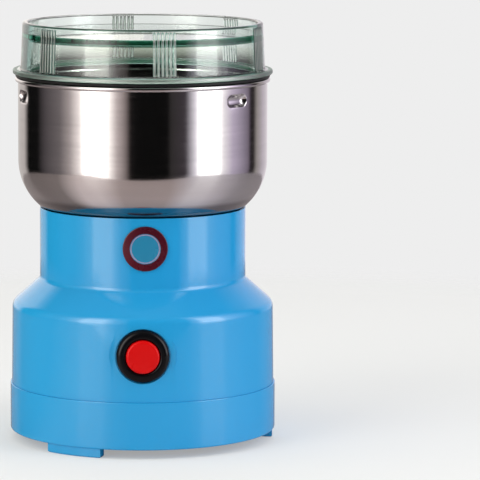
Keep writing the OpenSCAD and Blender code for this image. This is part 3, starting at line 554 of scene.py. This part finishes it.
def lined_material(name, values, axis, pitch, crest, groove, bump):
    """A material with the fine lines: two colours, crest and groove, and the raised rows."""
    material = new_material(name, values)
    tree = material.node_tree
    shader = tree.nodes["Principled BSDF"]
    lines = add_node(tree, "ShaderNodeGroup", {"Axis": axis, "Pitch": pitch}, node_tree=fine_lines)
    skin = add_node(tree, "ShaderNodeBump", {
        "Height": lines.outputs["Height"], "Strength": bump, "Distance": row_depth})
    tree.links.new(mixed(tree, lines.outputs["Gap"], crest, groove), shader.inputs["Base Color"])
    tree.links.new(skin.outputs["Normal"], shader.inputs["Normal"])
    return material


core_sheet = lined_material(
    "core_sheet", {"Metallic": 1, "Roughness": 0.38}, axis=(0, 0, 1), pitch=0.5 * mm,
    crest=(0.34, 0.35, 0.37), groove=(0.1, 0.1, 0.11), bump=0.4)
field_wire = lined_material(
    "field_wire", {"Metallic": 1, "Roughness": 0.28}, axis=(0, 1, 0), pitch=0.6 * mm,
    crest=(0.62, 0.23, 0.09), groove=(0.2, 0.06, 0.02), bump=0.8)
armature_wire = lined_material(
    "armature_wire", {"Metallic": 1, "Roughness": 0.28}, axis=(0.7, 0.7, 0.3), pitch=0.5 * mm,
    crest=(0.6, 0.22, 0.085), groove=(0.2, 0.06, 0.02), bump=0.8)
copper_bar = marked_material(
    "copper_bar", {"Metallic": 1}, scale=120,
    tones=((0.66, 0.29, 0.14), (0.74, 0.36, 0.2)), roughness=(0.18, 0.3), bump=0.05, stretch=(1, 1, 14))
finish_nodes(core_sheet, "stator_core", "armature_core")
finish_nodes(field_wire, "field_coils", edge=1.2 * mm)
finish_nodes(armature_wire, "armature_winding", edge=0.3 * mm)
finish_nodes(copper_bar, "commutator", edge=0.1 * mm)

# Brush gear
# Two carbon brushes slide in moulded holders on the lower bracket. A coil spring behind each brush
# presses it on the commutator, and sleeved leads run to the coils and the switch.


def close_tube(maker, rings):
    """Faces between rings of points that follow each other, and over both ends."""
    for lower, upper in zip(rings, rings[1:]):
        for k in range(len(lower)):
            n = (k + 1) % len(lower)
            maker.faces.new((lower[k], upper[k], upper[n], lower[n]))
    maker.faces.new(rings[0])
    maker.faces.new(list(reversed(rings[-1])))


def coil(maker, spot, radius, wire, length, turns):
    """A coil spring along the local upright axis, from the spot's origin, added to the mesh maker."""
    around_steps = 24
    sides = 10
    rings = []
    for i in range(turns * around_steps + 1):
        turn = 2 * math.pi * i / around_steps
        out = Vector((math.cos(turn), math.sin(turn), 0))
        middle = out * radius + Vector((0, 0, wire + (length - 2 * wire) * i / (turns * around_steps)))
        ring = []
        for k in range(sides):
            lean = 2 * math.pi * k / sides
            skin = math.cos(lean) * out + math.sin(lean) * Vector((0, 0, 1))
            ring.append(maker.verts.new(spot @ (middle + wire * skin)))
        rings.append(ring)
    close_tube(maker, rings)


black_plastic = marked_material(
    "black_plastic", {"IOR": 1.4, "Specular IOR Level": 0.25}, scale=90,
    tones=((0.002, 0.002, 0.003), (0.004, 0.004, 0.005)), roughness=(0.12, 0.18), bump=0.03)
carbon = marked_material(
    "carbon", {"IOR": 1.6}, scale=250,
    tones=((0.02, 0.02, 0.021), (0.035, 0.035, 0.036)), roughness=(0.4, 0.55), bump=0.15)
lead_sleeve = marked_material(
    "lead_sleeve", {"IOR": 1.5}, scale=120,
    tones=((0.5, 0.012, 0.01), (0.56, 0.02, 0.015)), roughness=(0.3, 0.4), bump=0.05)
finish_nodes(black_plastic, "brush_holders", edge=0.3 * mm)
finish_nodes(carbon, "carbon_brushes", edge=0.2 * mm)
finish_nodes(lead_sleeve, "motor_leads", edge=0.05 * mm)
spring_low, spring_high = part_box("brush_springs")
spring_len, spring_wire, spring_turns = 3 * mm, 0.25 * mm, 4
spring_r = spring_high.x - 0.3 * mm
maker = bmesh.new()
for side in (-1, 1):
    seat = Vector((0, side * (spring_high.y - spring_len), (spring_low.z + spring_high.z) / 2))
    coil(maker, Matrix.Translation(seat) @ Matrix.Rotation(-side * math.pi / 2, 4, "X"),
         spring_r, spring_wire, spring_len, spring_turns)
brush_coils = new_piece("brush_coils", maker)
brush_coils.data.materials.append(screw_steel)
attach(brush_coils, "base")
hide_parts("brush_springs")

# Push switch
# A panel switch: a black bezel with its barrel through the housing's front, held by a nut from
# behind, a contact block with two brass tabs, a return spring, and a red cap that is pressed in.


def face_front(piece):
    """Lays a turned piece so that its axis points to the front, at the switch's height."""
    piece.data.transform(Matrix.Translation((0, 0, switch_up)) @ Matrix.Rotation(math.pi / 2, 4, "X"))


bezel_r = bezel_high.x
bezel_face = -bezel_low.y
barrel_end = -bezel_high.y
barrel_out = 8 * mm
cap_hole = 6.7 * mm
guide_r = 7.2 * mm
bezel = lathe("bezel_ring", rounded_outline([
    (barrel_out, barrel_end, 0.3 * mm), (barrel_out, switch_seat, 0), (bezel_r, switch_seat, 0.2 * mm),
    (bezel_r, bezel_face, 2 * mm), (cap_hole, bezel_face, 0.9 * mm), (cap_hole, switch_seat, 0),
    (guide_r, switch_seat, 0), (guide_r, barrel_end, 0.2 * mm)]))
face_front(bezel)
bezel.data.materials.append(black_plastic)
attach(bezel, "base")
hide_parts("switch_bezel")
finish_nodes(screw_steel, "switch_nut", edge=0.3 * mm)
finish_nodes(black_plastic, "contact_block", edge=0.2 * mm)
finish_nodes(brass, "switch_terminals", edge=0.1 * mm)

return_low, return_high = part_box("switch_spring")
return_wire, return_turns = 0.4 * mm, 4
maker = bmesh.new()
coil(maker, Matrix.Translation((0, return_high.y, switch_up)) @ Matrix.Rotation(math.pi / 2, 4, "X"),
     return_high.x - 0.5 * mm, return_wire, return_high.y - return_low.y, return_turns)
return_coil = new_piece("return_coil", maker)
return_coil.data.materials.append(screw_steel)
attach(return_coil, "base")
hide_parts("switch_spring")
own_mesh(return_coil)

cap_low, cap_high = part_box("button_cap")
cap_face = -cap_low.y
cap_r = 6.6 * mm
collar_r = cap_high.x
collar_face = switch_seat - 0.5 * mm
collar_back = collar_face - 2 * mm
stem_r = 2.5 * mm
cap = lathe("cap_dome", rounded_outline([
    (0, cap_face, 0), (0, -cap_high.y, 0), (stem_r, -cap_high.y, 0.3 * mm),
    (stem_r, collar_back, 0.2 * mm), (collar_r, collar_back, 0.2 * mm), (collar_r, collar_face, 0.2 * mm),
    (cap_r, collar_face, 0), (cap_r, cap_face - 0.1 * mm, 1.1 * mm), (cap_r / 2, cap_face, 0)]))
face_front(cap)
red_plastic = marked_material(
    "red_plastic", {"IOR": 1.4, "Specular IOR Level": 0.25}, scale=90,
    tones=((0.54, 0.001, 0.002), (0.57, 0.002, 0.002)), roughness=(0.25, 0.33), bump=0.02)
cap.data.materials.append(red_plastic)
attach(cap, "button")
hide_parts("button_cap")

# Cord gland
# A black moulded gland in the back of the barrel, snapped through the wall, with a round bore
# where the cord comes in.
inlet_r = 3.3 * mm
gland_r = gland_high.x
gland_face = gland_high.y
gland_neck = 5.3 * mm
gland_back_r = 6.8 * mm
gland = lathe("gland_body", rounded_outline([
    (inlet_r, gland_low.y, 0.3 * mm), (gland_back_r, gland_low.y, 0.6 * mm),
    (gland_back_r, gland_panel, 0), (gland_neck, gland_panel, 0), (gland_neck, gland_seat, 0),
    (gland_r, gland_seat, 0.2 * mm), (gland_r, gland_face, 1.2 * mm), (inlet_r, gland_face, 0.8 * mm)]))
gland.data.transform(Matrix.Translation((0, 0, gland_up)) @ Matrix.Rotation(-math.pi / 2, 4, "X"))
gland.data.materials.append(black_plastic)
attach(gland, "base")
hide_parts("cord_gland")

# Rotor and cutter
# The steel shaft carries the fan below and, above the bowl's floor, a collar, two stamped and bent
# stainless blades with a spacer between them, and a domed nut.
blade_steel = marked_material(
    "blade_steel", {"Metallic": 1}, scale=120,
    tones=((0.55, 0.55, 0.55), (0.63, 0.62, 0.62)), roughness=(0.14, 0.26), bump=0.05, stretch=(1, 5, 1))
finish_nodes(blade_steel, "motor_shaft", "blade_collar", "blade_nut", edge=0.3 * mm)
finish_nodes(black_plastic, "cooling_fan", edge=0.2 * mm)
finish_nodes(blade_steel, "lower_blade", "upper_blade", edge=0.1 * mm)
finish_nodes(blade_steel, "blade_spacer", edge=0.2 * mm)

# Base cover
# A blue moulded cup that closes the housing from below, with three feet, air slots in its floor and
# three columns for the screws that hold it.
floor_up = base_low.z + 3.6 * mm
floor_top = floor_up + 2.4 * mm
base_r = base_high.x
base = lathe("base_shell", rounded_outline([
    (0, floor_up, 0), (base_r / 2, floor_up, 0), (base_r, floor_up, 0.8 * mm),
    (base_r, seam_up, 0.25 * mm), (base_r - wall, seam_up, 0.2 * mm), (base_r - wall, floor_top, 0.8 * mm),
    (base_r / 2, floor_top, 0), (0, floor_top, 0)]))
foot_out = base_r - 0.9 * mm
foot_in = foot_out - 4.5 * mm
foot_angles = (-32, 97, 213)
foot_span = 27
foot_steps = 12
foot_edge = 0.4 * mm
foot_top = floor_top - overlap


def foot(maker, middle):
    """A foot: an upright bar bent to the base's round, with rounded lower edges and ends."""
    section = [(foot_in, foot_top), (foot_in, foot_edge), (foot_in + foot_edge, 0),
               (foot_out - foot_edge, 0), (foot_out, foot_edge), (foot_out, foot_top)]
    end_turn = math.degrees(foot_edge / foot_out)
    half = foot_span / 2
    stations = [(-half, foot_edge), (-half + end_turn, 0)]
    stations += [(-half + foot_span * i / foot_steps, 0) for i in range(1, foot_steps)]
    stations += [(half - end_turn, 0), (half, foot_edge)]
    rows = []
    for turn, lift in stations:
        rows.append([maker.verts.new(around(middle + turn, r, max(z, lift))) for r, z in section])
    close_tube(maker, rows)


maker = bmesh.new()
for angle in foot_angles:
    foot(maker, angle)
bmesh.ops.remove_doubles(maker, verts=maker.verts, dist=tiny)
bmesh.ops.recalc_face_normals(maker, faces=maker.faces)
combine(base, new_piece("feet", maker), "UNION")
screw_seat = floor_up + 8 * mm
screw_recess = 3.3 * mm
past_floor = 5 * mm
combine(base, rods(upright(columns, floor_up + overlap, seam_up, column_r)), "UNION")
combine(base, rods(upright(columns, floor_up - past_floor, screw_seat, screw_recess)), "DIFFERENCE")
combine(base, rods(upright(columns, floor_up, seam_up + overlap, column_bore)), "DIFFERENCE")
vent_count = 12
vent_half = 1.6 * mm
vent_start = 13 * mm + vent_half
vent_end = 33 * mm - vent_half
maker = bmesh.new()
for i in range(vent_count):
    spin = Matrix.Rotation(2 * math.pi * i / vent_count, 4, "Z")
    rim = arc((0, -vent_start), vent_half, 0, 180) + arc((0, -vent_end), vent_half, 180, 360)
    lower = [maker.verts.new(spin @ Vector((x, y, floor_up - overlap))) for x, y in rim]
    upper = [maker.verts.new(spin @ Vector((x, y, floor_top + overlap))) for x, y in rim]
    close_tube(maker, [upper, lower])
combine(base, new_piece("vents", maker), "DIFFERENCE")
base.data.materials.append(blue_plastic)
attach(base, "base")
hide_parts("base_cover")
finish_nodes(screw_steel, "base_screws")

# Lid seal
# A black rubber ring, moulded in one piece. It sits under the lid's flange, which presses it on the
# bowl's rim, and it comes off with the lid.
seal_low, seal_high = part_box("lid_seal")
seal_in = seal_high.x - 3.4 * mm
seal_top = seal_high.z - 0.04 * mm
seal = lathe("seal_ring", rounded_outline([
    (seal_in, seal_low.z, 0.3 * mm), (seal_high.x, seal_low.z, 0.4 * mm),
    (seal_high.x, seal_top, 0.4 * mm), (seal_in, seal_top, 0.3 * mm)]))
seal.data.materials.append(black_rubber)
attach(seal, "seal")
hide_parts("lid_seal")

# Lid
# One clear green moulding: a skirt with three cams that pass under the bowl's lugs, a flange, a wall
# with six groups of grip ribs, and a plate sunk under the rim.
lid_low, lid_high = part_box("lid")
flange_up = seal_high.z
flange_top = flange_up + 1.75 * mm
flange_r = lid_high.x
lid_top = lid_high.z
lid_r = 49.2 * mm
lid_lean = 0.9 * mm
plate_top = lid_top - 4.3 * mm
plate_under = plate_top - 1.8 * mm
skirt_r = 47.1 * mm
skirt_in = skirt_r - 2 * mm
cam_r = 48.9 * mm
cam_low = lid_low.z + 1.2 * mm
cam_high = cam_low + 1.8 * mm
stop_high = lug_up
cam_turn = 33
cam_half = 8
stop_turn = 8.7
stop_half = math.degrees(1 * mm / cam_r)
cam_step = 0.05 * mm
skirt_near = 0.01 * mm
rib_groups = 6
rib_count = 6
rib_pitch = 1.9
rib_first = 10
rib_r = 0.55 * mm
rib_end = lid_top - 1.1 * mm
rib_step, rib_zone, cam_zone = 0.2, 8, 3


def wall_radius(up):
    """Outer radius of the lid's wall, which leans in towards the rim."""
    return lid_r - lid_lean * (up - flange_top) / (lid_top - flange_top)


def ribbed(angle, across, up):
    """Raises the grip ribs on the wall, and the cams and their stops on the skirt."""
    turn = math.degrees(angle)
    if flange_top <= up <= rib_end and across > wall_radius(up) - wall_near:
        group = 360 / rib_groups
        off = (turn - rib_first + group / 2) % group - group / 2
        middle = (rib_count - 1) / 2
        rib = min(max(round(off / rib_pitch + middle), 0), rib_count - 1)
        side = math.radians(off - rib_pitch * (rib - middle)) * lid_r
        fade = math.sqrt(min((rib_end - up) / (2 * rib_r), 1))
        height = math.sqrt(max(rib_r ** 2 - side ** 2, 0)) * fade
        if height > 0:
            return max(across, wall_radius(up) + height), up
    if abs(across - skirt_r) < skirt_near and cam_low <= up <= stop_high:
        off = min(((turn - a - cam_turn + 180) % 360 - 180 for a in lug_angles), key=abs)
        on_cam = abs(off) <= cam_half and up <= cam_high
        on_stop = abs(off - stop_turn) <= stop_half and up > cam_high - cam_step
        if on_cam or on_stop:
            return cam_r, up
    return across, up


rib_stations = [(wall_radius(rib_end - drop * rib_r), rib_end - drop * rib_r, 0)
                for drop in (2, 1.5, 1, 0.5, 0.2, 0)]
skirt_stations = [(skirt_r, up, 0) for up in (
    cam_low - cam_step, cam_low, cam_high, cam_high + cam_step, stop_high, stop_high + cam_step)]
lid = lathe("lid_shell", rounded_outline(
    [(skirt_in, lid_low.z, 0.5 * mm), (skirt_r, lid_low.z, 0.5 * mm)] + skirt_stations
    + [(skirt_r, flange_up, 0.3 * mm), (flange_r, flange_up, 0.5 * mm), (flange_r, flange_top, 0.6 * mm),
       (lid_r, flange_top, 0.6 * mm)] + rib_stations
    + [(wall_radius(lid_top), lid_top, 0.7 * mm), (wall_radius(lid_top) - wall, lid_top, 0.7 * mm),
       (wall_radius(plate_top) - wall, plate_top, 0.15 * mm), (lid_r / 2, plate_top, 0),
       (0, plate_top, 0), (0, plate_under, 0), (lid_r / 2, plate_under, 0),
       (wall_radius(plate_under) - wall, plate_under, 0.5 * mm),
       (lid_r - wall, flange_top, 0.4 * mm), (skirt_in, flange_top, 0.4 * mm)]),
    uneven_turn(coarse_step, rib_step,
                [(rib_first + 360 / rib_groups * i, rib_zone) for i in range(rib_groups)]
                + [(a + cam_turn + s * cam_half, cam_zone) for a in lug_angles for s in (-1, 1)]), ribbed)
clear_green = marked_material(
    "clear_green",
    {"IOR": 1.49, "Transmission Weight": 1,
     "Coat IOR": 2.6, "Coat Roughness": 0.45, "Coat Tint": (0.88, 1, 0.9, 1)},
    scale=70, tones=((0.99, 1, 0.985), (0.985, 1, 0.98)), roughness=(0.0, 0.02), bump=0.01)
deep_green_shade = (0.01, 0.05, 0.03)
flank_shade_green = (0.1, 0.3, 0.23)
end_green = (0.35, 0.95, 0.85)
frost_from, frost_to, frost_rough = 50.2 * mm, 51 * mm, 0.55
flange_edge = 50.4 * mm
wall_from = 47.5 * mm
plate_line = (plate_top + plate_under) / 2 - 0.45 * mm
plate_line_half, plate_line_soft = 1.15 * mm, 0.3 * mm
rim_line = lid_top - 0.75 * mm
rim_outer = wall_radius(lid_top) - 0.35 * mm
rib_foot = flange_top + 0.8 * mm
rib_from, rib_to, rib_rough = 0.02 * mm, 0.1 * mm, 0.35
crest_from, crest_to, crest_coat = 0.3 * mm, 0.5 * mm, 0.6
glance_from, glance_to = 0.55, 0.68
body_green, body_density = (0.04, 0.6, 0.44, 1), 25
tree = clear_green.node_tree
shader = tree.nodes["Principled BSDF"]
place = own_place(tree)
up = add_node(tree, "ShaderNodeSeparateXYZ", {0: place}).outputs["Z"]
level = add_node(tree, "ShaderNodeVectorMath", {0: place, 1: (1, 1, 0)}, operation="MULTIPLY").outputs[0]
out = add_node(tree, "ShaderNodeVectorMath", {0: level}, operation="LENGTH").outputs["Value"]
inside = add_node(tree, "ShaderNodeNewGeometry").outputs["Backfacing"]
outside = maths(tree, "SUBTRACT", 1.0, inside)
wall_outside = maths(tree, "MULTIPLY", maths(tree, "GREATER_THAN", out, wall_from), outside)

# The plate's edge, the rim and the flange seen from within are dark green: deep plastic and painted shade.
off_plate = maths(tree, "ABSOLUTE", maths(tree, "SUBTRACT", up, plate_line))
at_plate = ranged(tree, off_plate, plate_line_half + plate_line_soft, plate_line_half)
at_rim = maths(tree, "MULTIPLY", maths(tree, "GREATER_THAN", up, rim_line),
               maths(tree, "GREATER_THAN", out, rim_outer))
wall_lines = maths(tree, "MULTIPLY", maths(tree, "MAXIMUM", at_plate, at_rim), wall_outside)
in_flange = maths(tree, "MULTIPLY", maths(tree, "GREATER_THAN", out, flange_edge), inside)
# Painted shade, partly: these lines are darker than the clear plastic would show by itself.
tint_over(clear_green, maths(tree, "MAXIMUM", wall_lines, in_flange), deep_green_shade)

# Pale ground crests on the ribs, painted shade on their flanks, and the wall darkens where it turns away.
lean = lid_lean / (lid_top - flange_top)
proud = maths(tree, "ADD", out, maths(tree, "MULTIPLY_ADD", up, lean, -lid_r - lean * flange_top))
rib = maths(tree, "MULTIPLY", ranged(tree, proud, rib_from, rib_to),
            maths(tree, "GREATER_THAN", up, rib_foot))
# Painted shade: the rib flanks are tinted dark green.
crest = maths(tree, "MULTIPLY", ranged(tree, proud, crest_from, crest_to), rib)
flank_shade = maths(tree, "MULTIPLY", maths(tree, "SUBTRACT", rib, crest), outside)
tint_over(clear_green, flank_shade, flank_shade_green)
slant = add_node(tree, "ShaderNodeLayerWeight", {"Blend": 0.5}).outputs["Facing"]
wall_end = maths(tree, "MULTIPLY", ranged(tree, slant, glance_from, glance_to), wall_outside)
tint_over(clear_green, wall_end, end_green)

# The flange's edge and the ribs are ground dull. A pale coat lies on the flange and the crests.
frost = ranged(tree, out, frost_from, frost_to)
finish = shader.inputs["Roughness"]
for share, amount in ((frost, frost_rough), (rib, rib_rough)):
    tree.links.new(maths(tree, "MULTIPLY_ADD", share, amount, finish.links[0].from_socket), finish)
tree.links.new(maths(tree, "MULTIPLY_ADD", crest, crest_coat, frost), shader.inputs["Coat Weight"])
body = add_node(tree, "ShaderNodeVolumeAbsorption", {"Color": body_green, "Density": body_density})
tree.links.new(body.outputs["Volume"], tree.nodes["Material Output"].inputs["Volume"])
lid.data.materials.append(clear_green)
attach(lid, "lid")
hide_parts("lid")

# Studio
# A pale floor that fades into the background and mirrors as a glossy table with painted light and
# shade, a glowing card behind the lid that paints shade seen through it, soft boxes all round, and a
# room whose dark and pale walls show in the polished steel.
pale = 0.855
floor_r = 0.5
floor_fade = 0.4
floor_glow = 0.4
floor_dim = 0.55
table_edge = 0.375
table_grow = 0.13
table_gloss = 0.9
table_side = (0.28, 0.24, 0.245)
table_front = (0.48, 0.4, 0.4)
table_left = (0.78, 0.68, 0.7)
table_right = (0.69, 0.645, 0.695)
table_far = (0.4, 0.37, 0.4)
# Painted light and shade: the floor's tones by bearing, as they show in reflections only.
table_painted_light = [
    (-180, table_side), (-83, table_side), (-60, table_left), (-42, table_left), (-20, table_front),
    (24, table_front), (46, table_right), (64, table_right), (100, table_far), (180, table_side)]


def stage_sheet(name, corners):
    """A flat sheet of the stage, through its corners."""
    maker = bmesh.new()
    maker.faces.new([maker.verts.new(corner) for corner in corners])
    return new_piece(name, maker)


def round_about(tree, place):
    """Bearing from the front towards the right, way to the front, and height of a place or direction."""
    split = add_node(tree, "ShaderNodeSeparateXYZ", {0: place})
    front = maths(tree, "MULTIPLY", split.outputs["Y"], -1.0)
    return maths(tree, "ARCTAN2", split.outputs["X"], front), front, split.outputs["Z"]


def tone_ring(tree, bearing, stops):
    """Colours by bearing, with stops in degrees."""
    ring = add_node(tree, "ShaderNodeValToRGB", {0: ranged(tree, bearing, -math.pi, math.pi)})
    while len(ring.color_ramp.elements) < len(stops):
        ring.color_ramp.elements.new(0.5)
    for stop, (angle, colour) in zip(ring.color_ramp.elements, stops):
        stop.position = (angle + 180) / 360
        stop.color = (*colour, 1)
    return ring.outputs["Color"]


under_feet = -0.02 * mm
floor = stage_sheet("floor", [(x * floor_r, y * floor_r, under_feet)
                              for x, y in ((-1, -1), (1, -1), (1, 1), (-1, 1))])
floor_paper = new_material("floor_paper", {
    "Roughness": 0.7, "Specular IOR Level": 0, "Coat IOR": 1.75, "Coat Roughness": 0.14,
    "Emission Color": (pale, pale, pale, 1)})
tree = floor_paper.node_tree
shader = tree.nodes["Principled BSDF"]
path = add_node(tree, "ShaderNodeLightPath")
mirrored = path.outputs["Is Glossy Ray"]
looked_at = maths(tree, "MAXIMUM", path.outputs["Is Camera Ray"], path.outputs["Is Transmission Ray"])
place = own_place(tree)
out = add_node(tree, "ShaderNodeVectorMath", {0: place}, operation="LENGTH").outputs["Value"]
bearing, front = round_about(tree, place)[:2]
away = maths(tree, "MULTIPLY", out, maths(tree, "MULTIPLY_ADD", mirrored, -table_grow, 1.0))
ahead = maths(tree, "MULTIPLY", maths(tree, "MULTIPLY", front, floor_r / table_edge), mirrored)
fade = ranged(tree, maths(tree, "MAXIMUM", away, ahead), floor_fade, floor_r, 1.0, 0.0, smooth=True)
below = add_node(tree, "ShaderNodeNewGeometry").outputs["Backfacing"]
seen_through = maths(tree, "MULTIPLY", below, looked_at)
# In reflections the floor shows these painted tones instead of its even pale.
paper = mixed(tree, mirrored, (pale, pale, pale), tone_ring(tree, bearing, table_painted_light))
dim = (floor_dim * pale, floor_dim * pale, floor_dim * pale)
tree.links.new(mixed(tree, looked_at, paper, dim), shader.inputs["Base Color"])
tree.links.new(maths(tree, "MULTIPLY", mirrored, table_gloss), shader.inputs["Coat Weight"])
tree.links.new(maths(tree, "MULTIPLY", looked_at, floor_glow), shader.inputs["Emission Strength"])
tree.links.new(maths(tree, "SUBTRACT", fade, seen_through, use_clamp=True), shader.inputs["Alpha"])
floor.data.materials.append(floor_paper)

# Painted shade: a glowing sheet, darker in its middle and low down, seen only through the lid.
card_r, card_back = 0.12, 0.3
card_low, card_high = 0.05, 0.136
card_half, card_soft = 0.02, 0.025
card_middle, card_side = (0.5, 0.52, 0.45), (0.72, 0.72, 0.68)
card_dim, card_dim_from, card_dim_to = 0.15, 0.1295, 0.135
card = stage_sheet("painted_shade_card", [(-card_r, card_back, card_low), (card_r, card_back, card_low),
                                 (card_r, card_back, card_high), (-card_r, card_back, card_high)])
shade_card_paper = new_material("shade_card_paper", {
    "Base Color": (0, 0, 0, 1), "Specular IOR Level": 0, "Emission Strength": 1})
tree = shade_card_paper.node_tree
place = own_place(tree)
split = add_node(tree, "ShaderNodeSeparateXYZ", {0: place})
off_middle = maths(tree, "ABSOLUTE", split.outputs["X"])
at_side = ranged(tree, off_middle, card_half, card_half + card_soft, smooth=True)
tone = mixed(tree, at_side, card_middle, card_side)
shade = ranged(tree, split.outputs["Z"], card_dim_from, card_dim_to, card_dim)
shaded = add_node(tree, "ShaderNodeVectorMath", {0: tone, "Scale": shade}, operation="SCALE")
tree.links.new(shaded.outputs[0], tree.nodes["Principled BSDF"].inputs["Emission Color"])
card.data.materials.append(shade_card_paper)
card.visible_camera = False
card.visible_diffuse = False
card.visible_glossy = False
card.visible_shadow = False

grinder_mid = Vector((0, 0, 0.08))
watts_per_radiance = 4


def face_towards(holder, aim):
    """Turns a lamp or the camera so that it looks at a point."""
    holder.rotation_mode = "QUATERNION"
    holder.rotation_quaternion = (aim - holder.location).to_track_quat("-Z", "Y")


def soft_box(name, middle, size, radiance, colour, through=True):
    """A soft light that faces the grinder. Its reflection is painted in the room instead."""
    lamp = bpy.data.lights.new(name, "AREA")
    lamp.shape = "RECTANGLE"
    lamp.size, lamp.size_y = size
    lamp.energy = watts_per_radiance * radiance * size[0] * size[1]
    lamp.color = colour
    holder = bpy.data.objects.new(name, lamp)
    holder.location = middle
    face_towards(holder, grinder_mid)
    holder.visible_camera = False
    holder.visible_glossy = False
    holder.visible_transmission = through
    bpy.context.scene.collection.objects.link(holder)


box_out, box_up = 1.2, 0.62
fill_up = 0.5
soft_box("left_box", around(-44.5, box_out, box_up), (0.62, 1.6), radiance=2.4, colour=(1, 0.98, 0.89))
soft_box("right_box", around(64, box_out, box_up), (0.58, 1.6), radiance=2.4, colour=(0.98, 0.99, 1))
soft_box("left_fill", around(-80, box_out, fill_up), (1, 1.2), radiance=1.3, colour=(1, 1, 0.76),
         through=False)
soft_box("right_fill", around(88, box_out, fill_up), (1, 1.2), radiance=1.0, colour=(0.96, 0.97, 1),
         through=False)
soft_box("top_box", Vector((0, 0.1, 1.6)), (1.4, 1.4), radiance=0.95, colour=(1, 1, 1))
soft_box("back_box", around(180, 1.6, 0.9), (1.6, 1.2), radiance=0.6, colour=(1, 1, 1))

left_window = (2.6, 2.5, 2.4)
right_window = (2.6, 2.6, 2.6)
black_wall = (0.004, 0.004, 0.004)
walls = [
    (-180, (0.55, 0.52, 0.5)), (-142, (0.58, 0.54, 0.52)), (-132, black_wall),
    (-113, (0.006, 0.006, 0.006)), (-102, (0.085, 0.075, 0.08)), (-82, (0.185, 0.165, 0.17)),
    (-71, (0.45, 0.4, 0.395)), (-60, (1.15, 1.07, 1.04)), (-55, left_window), (-36, left_window),
    (-30, (1.35, 1.28, 1.24)), (-24, (0.65, 0.57, 0.56)), (-15, (0.23, 0.19, 0.185)), (-12, black_wall),
    (23, black_wall), (26, (0.04, 0.037, 0.037)), (40, (0.055, 0.046, 0.055)), (50, (1.05, 1.02, 1.12)),
    (54, right_window), (73, right_window), (79, (1.15, 1.12, 1.16)), (91, (0.62, 0.55, 0.7)),
    (109, (0.31, 0.27, 0.35)), (114, (0.24, 0.2, 0.26)), (118, (0.03, 0.025, 0.03)),
    (124, (0.03, 0.025, 0.025)), (131, (0.37, 0.34, 0.33)), (147, (0.6, 0.55, 0.61)),
    (180, (0.8, 0.75, 0.78))]
ceiling = (0.1, 0.1, 0.1)
ceiling_from, ceiling_to = 0.5, 0.9
room_light = (0.36, 0.36, 0.36)
low_gain, high_gain, behind_gain = 1.2, 2.3, 1.2
low_below, behind_from, behind_to = -0.1, 1.6, 1.9
second_gain = 0.35
level_top = 0.2
inside_low, inside_high, inside_top = 0.12, 0.5, 0.7
world = bpy.data.worlds.new("room")
world.use_nodes = True
bpy.context.scene.world = world
tree = world.node_tree
path = add_node(tree, "ShaderNodeLightPath")
through = path.outputs["Is Transmission Ray"]
bearing, front, up = round_about(tree, add_node(tree, "ShaderNodeTexCoord").outputs["Generated"])

# What shines in the steel and the plastic: walls and ceiling, stronger above, weaker the second time.
room = mixed(tree, ranged(tree, up, ceiling_from, ceiling_to), tone_ring(tree, bearing, walls), ceiling)
side_gain = ranged(tree, bearing, behind_from, behind_to, high_gain, behind_gain)
gain = maths(tree, "MULTIPLY", ranged(tree, up, low_below, 0.0, low_gain, side_gain),
             ranged(tree, path.outputs["Glossy Depth"], 1.0, 2.0, 1.0, second_gain))
bright = add_node(tree, "ShaderNodeVectorMath", {0: room, "Scale": gain}, operation="SCALE").outputs[0]
lit = mixed(tree, path.outputs["Is Glossy Ray"], room_light, bright)

# What shows through the lid: pale ahead, grey where the view leaves it towards the front.
out_front = maths(tree, "MULTIPLY", maths(tree, "GREATER_THAN", front, 0.0),
                  maths(tree, "LESS_THAN", up, level_top))
covered = maths(tree, "SUBTRACT", through, out_front, use_clamp=True)
inside_grey = ranged(tree, up, level_top, inside_top, inside_low, inside_high)
level_out = maths(tree, "COMPARE", up, level_top / 2, level_top / 2)
level_back = maths(tree, "SUBTRACT", level_out, out_front, use_clamp=True)
unmirrored = maths(tree, "LESS_THAN", path.outputs["Glossy Depth"], 0.5)
clear_way = maths(tree, "MULTIPLY", maths(tree, "MAXIMUM", unmirrored, level_back), through)
seen = maths(tree, "MAXIMUM", clear_way, path.outputs["Is Camera Ray"])
shown = mixed(tree, seen, mixed(tree, covered, lit, inside_grey), (pale, pale, pale))
tree.links.new(shown, tree.nodes["Background"].inputs["Color"])

eye = bpy.data.cameras.new("camera")
eye.lens = 257
eye.sensor_width = 36
eye_roll = 0.004
eye_aim = Vector((0.0394, 0, 0.08))
camera = bpy.data.objects.new("camera", eye)
camera.location = (0, -1.377, 0.2647)
face_towards(camera, eye_aim)
camera.rotation_quaternion = camera.rotation_quaternion @ Quaternion((0, 0, 1), eye_roll)
bpy.context.scene.collection.objects.link(camera)
bpy.context.scene.camera = camera
bpy.context.scene.view_settings.view_transform = "Standard"
